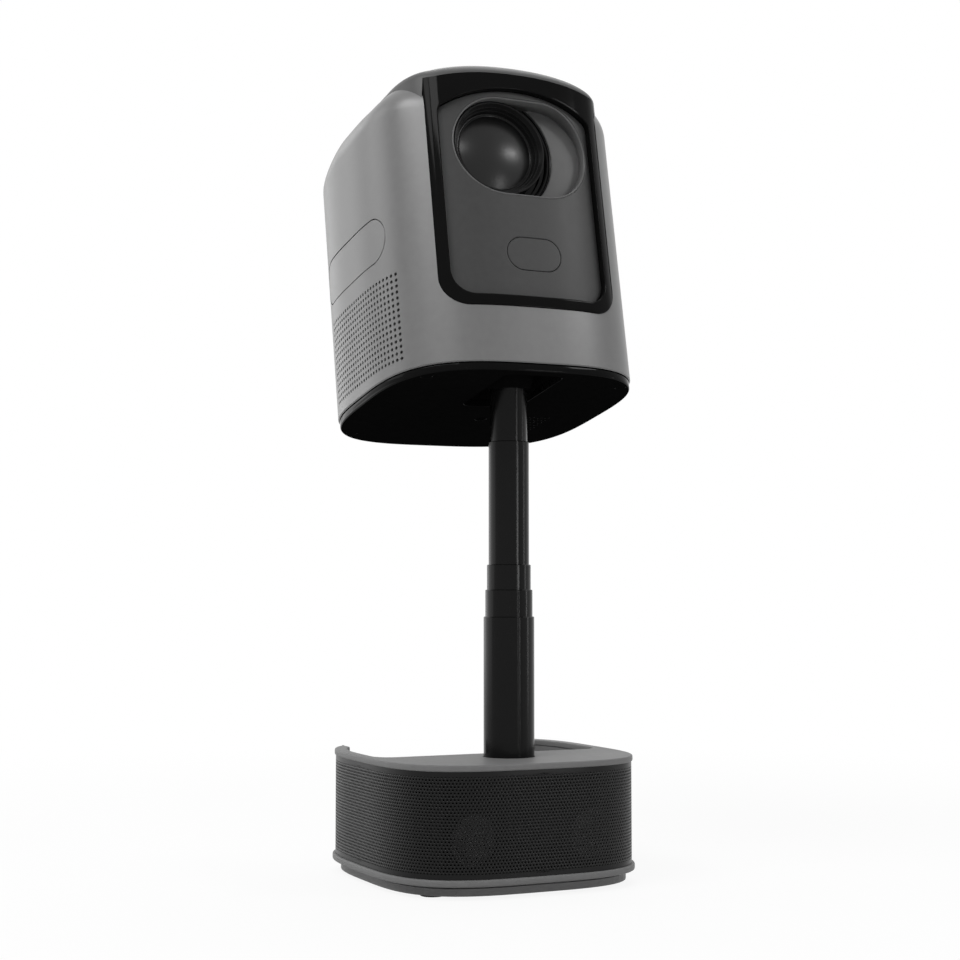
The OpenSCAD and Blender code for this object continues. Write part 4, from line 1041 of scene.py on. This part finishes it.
def background_rays(nodes, links):
    """1 for a ray that shows the background: from the camera, off a gloss or through glass."""
    path = nodes.new("ShaderNodeLightPath")
    shown = path.outputs["Is Camera Ray"]
    for kind in ("Is Glossy Ray", "Is Transmission Ray"):
        either = nodes.new("ShaderNodeMath")
        either.operation = "MAXIMUM"
        links.new(shown, either.inputs[0])
        links.new(path.outputs[kind], either.inputs[1])
        shown = either.outputs[0]
    return shown


def backdrop_world():
    """White where it is seen, also in reflections, and plain grey light for the rest."""
    world = bpy.data.worlds.new("studio")
    bpy.context.scene.world = world
    world.use_nodes = True
    nodes, links = world.node_tree.nodes, world.node_tree.links
    back = nodes["Background"]
    back.inputs["Color"].default_value = (1, 1, 1, 1)
    strength = nodes.new("ShaderNodeMapRange")
    strength.inputs["To Min"].default_value = AMBIENT
    strength.inputs["To Max"].default_value = 1.0
    links.new(background_rays(nodes, links), strength.inputs["Value"])
    links.new(strength.outputs["Result"], back.inputs["Strength"])


def floor_material():
    """Pale floor that keeps a soft shadow near the base and fades into the white background."""
    near, far, shown = 0.25, 0.9, 0.90
    material = bpy.data.materials.new("pale_floor")
    material.use_nodes = True
    nodes, links = material.node_tree.nodes, material.node_tree.links
    shader = nodes["Principled BSDF"]
    shader.inputs["Base Color"].default_value = (0.8, 0.8, 0.8, 1)
    shader.inputs["Roughness"].default_value = 0.9
    shader.inputs["Specular IOR Level"].default_value = 0.1
    glow = nodes.new("ShaderNodeEmission")
    glow.inputs["Strength"].default_value = 1.0
    place = nodes.new("ShaderNodeTexCoord")
    reach = nodes.new("ShaderNodeVectorMath")
    reach.operation = "LENGTH"
    links.new(place.outputs["Object"], reach.inputs[0])
    fade = nodes.new("ShaderNodeMapRange")
    fade.interpolation_type = "SMOOTHSTEP"
    for name, value in (("From Min", near), ("From Max", far), ("To Min", shown), ("To Max", 1.0)):
        fade.inputs[name].default_value = value
    links.new(reach.outputs["Value"], fade.inputs["Value"])
    share = nodes.new("ShaderNodeMath")
    share.operation = "MULTIPLY"
    links.new(background_rays(nodes, links), share.inputs[0])
    links.new(fade.outputs["Result"], share.inputs[1])
    mix = nodes.new("ShaderNodeMixShader")
    links.new(share.outputs[0], mix.inputs[0])
    links.new(shader.outputs[0], mix.inputs[1])
    links.new(glow.outputs[0], mix.inputs[2])
    links.new(mix.outputs[0], nodes["Material Output"].inputs["Surface"])
    return material


def floor():
    size = 30.0
    bm = from_lists([(-size, -size, 0), (size, -size, 0), (size, size, 0), (-size, size, 0)], [(0, 1, 2, 3)])
    obj = make_object("floor", bm, Matrix.Identity(4))
    obj.data.materials.append(floor_material())


def softbox(name, azimuth, elevation, distance, size, power, aim=(0.0, -0.05, 0.40)):
    """Area light at an azimuth from the front and an elevation, in degrees from the aim point."""
    light = bpy.data.lights.new(name, "AREA")
    light.shape = "RECTANGLE"
    light.size, light.size_y = size
    light.energy = power
    obj = bpy.data.objects.new(name, light)
    bpy.context.scene.collection.objects.link(obj)
    turn, up = radians(azimuth), radians(elevation)
    away = Vector((sin(turn) * cos(up), -cos(turn) * cos(up), sin(up)))
    obj.location = Vector(aim) + away * distance
    obj.rotation_euler = (-away).to_track_quat("-Z", "Y").to_euler()


def lights():
    """Large soft key, fills from the rear and above, and strips for the bezel, the lens and the mast."""
    softbox("key", -70, 42, 1.6, (1.0, 0.6), 17.5)
    softbox("bar", -34, 37, 1.6, (0.60, 0.20), 4.8)
    softbox("rear_left", -128, 22, 1.7, (0.8, 0.8), 3.3)
    softbox("rear", -166, 8, 1.7, (0.5, 1.2), 2.0)
    softbox("top", 140, 66, 1.6, (1.2, 1.2), 15.5)
    softbox("lens", 48, 29, 1.5, (0.46, 0.16), 4.6)
    low = (0.0, -0.05, 0.2)
    softbox("low_left", -134, 0, 1.5, (1.4, 0.36), 1.6, low)
    softbox("mast_front", 27, 0, 1.5, (0.14, 0.36), 2.0, low)
    softbox("mast_side", 70, 0, 1.5, (0.10, 0.36), 0.8, low)


def camera():
    """Camera a little left of the front, looking slightly up."""
    data = bpy.data.cameras.new("view")
    data.sensor_fit = "HORIZONTAL"
    data.sensor_width = SENSOR_WIDTH
    data.lens = LENS_LENGTH
    obj = bpy.data.objects.new("view", data)
    bpy.context.scene.collection.objects.link(obj)
    obj.location = (CAMERA_X, CAMERA_Y + BASE.translation.y, CAMERA_Z)
    obj.rotation_euler = (radians(90 + CAMERA_RISE), 0, radians(CAMERA_TURN))
    bpy.context.scene.camera = obj


camera()
base_rim()
base_deck()
base_grille()
base_feet()
for tube_number, tube_body in enumerate(("base", "mast_2", "mast_3", "mast_4", "neck"), start=1):
    mast_tube(tube_number, tube_body)
neck()
head_shell()
side_cover()
front_bezel()
hood()
fascia()
ir_window()
under_plate()
hinge_pocket()
lens_ring()
glass_retainer()
glass_dome()
well_wall()
well_crescent()
well_ring()
io_panel()
power_button()
dress_nodes()
dress_bay()
backdrop_world()
floor()
lights()
bpy.context.scene.view_settings.view_transform = "Standard"
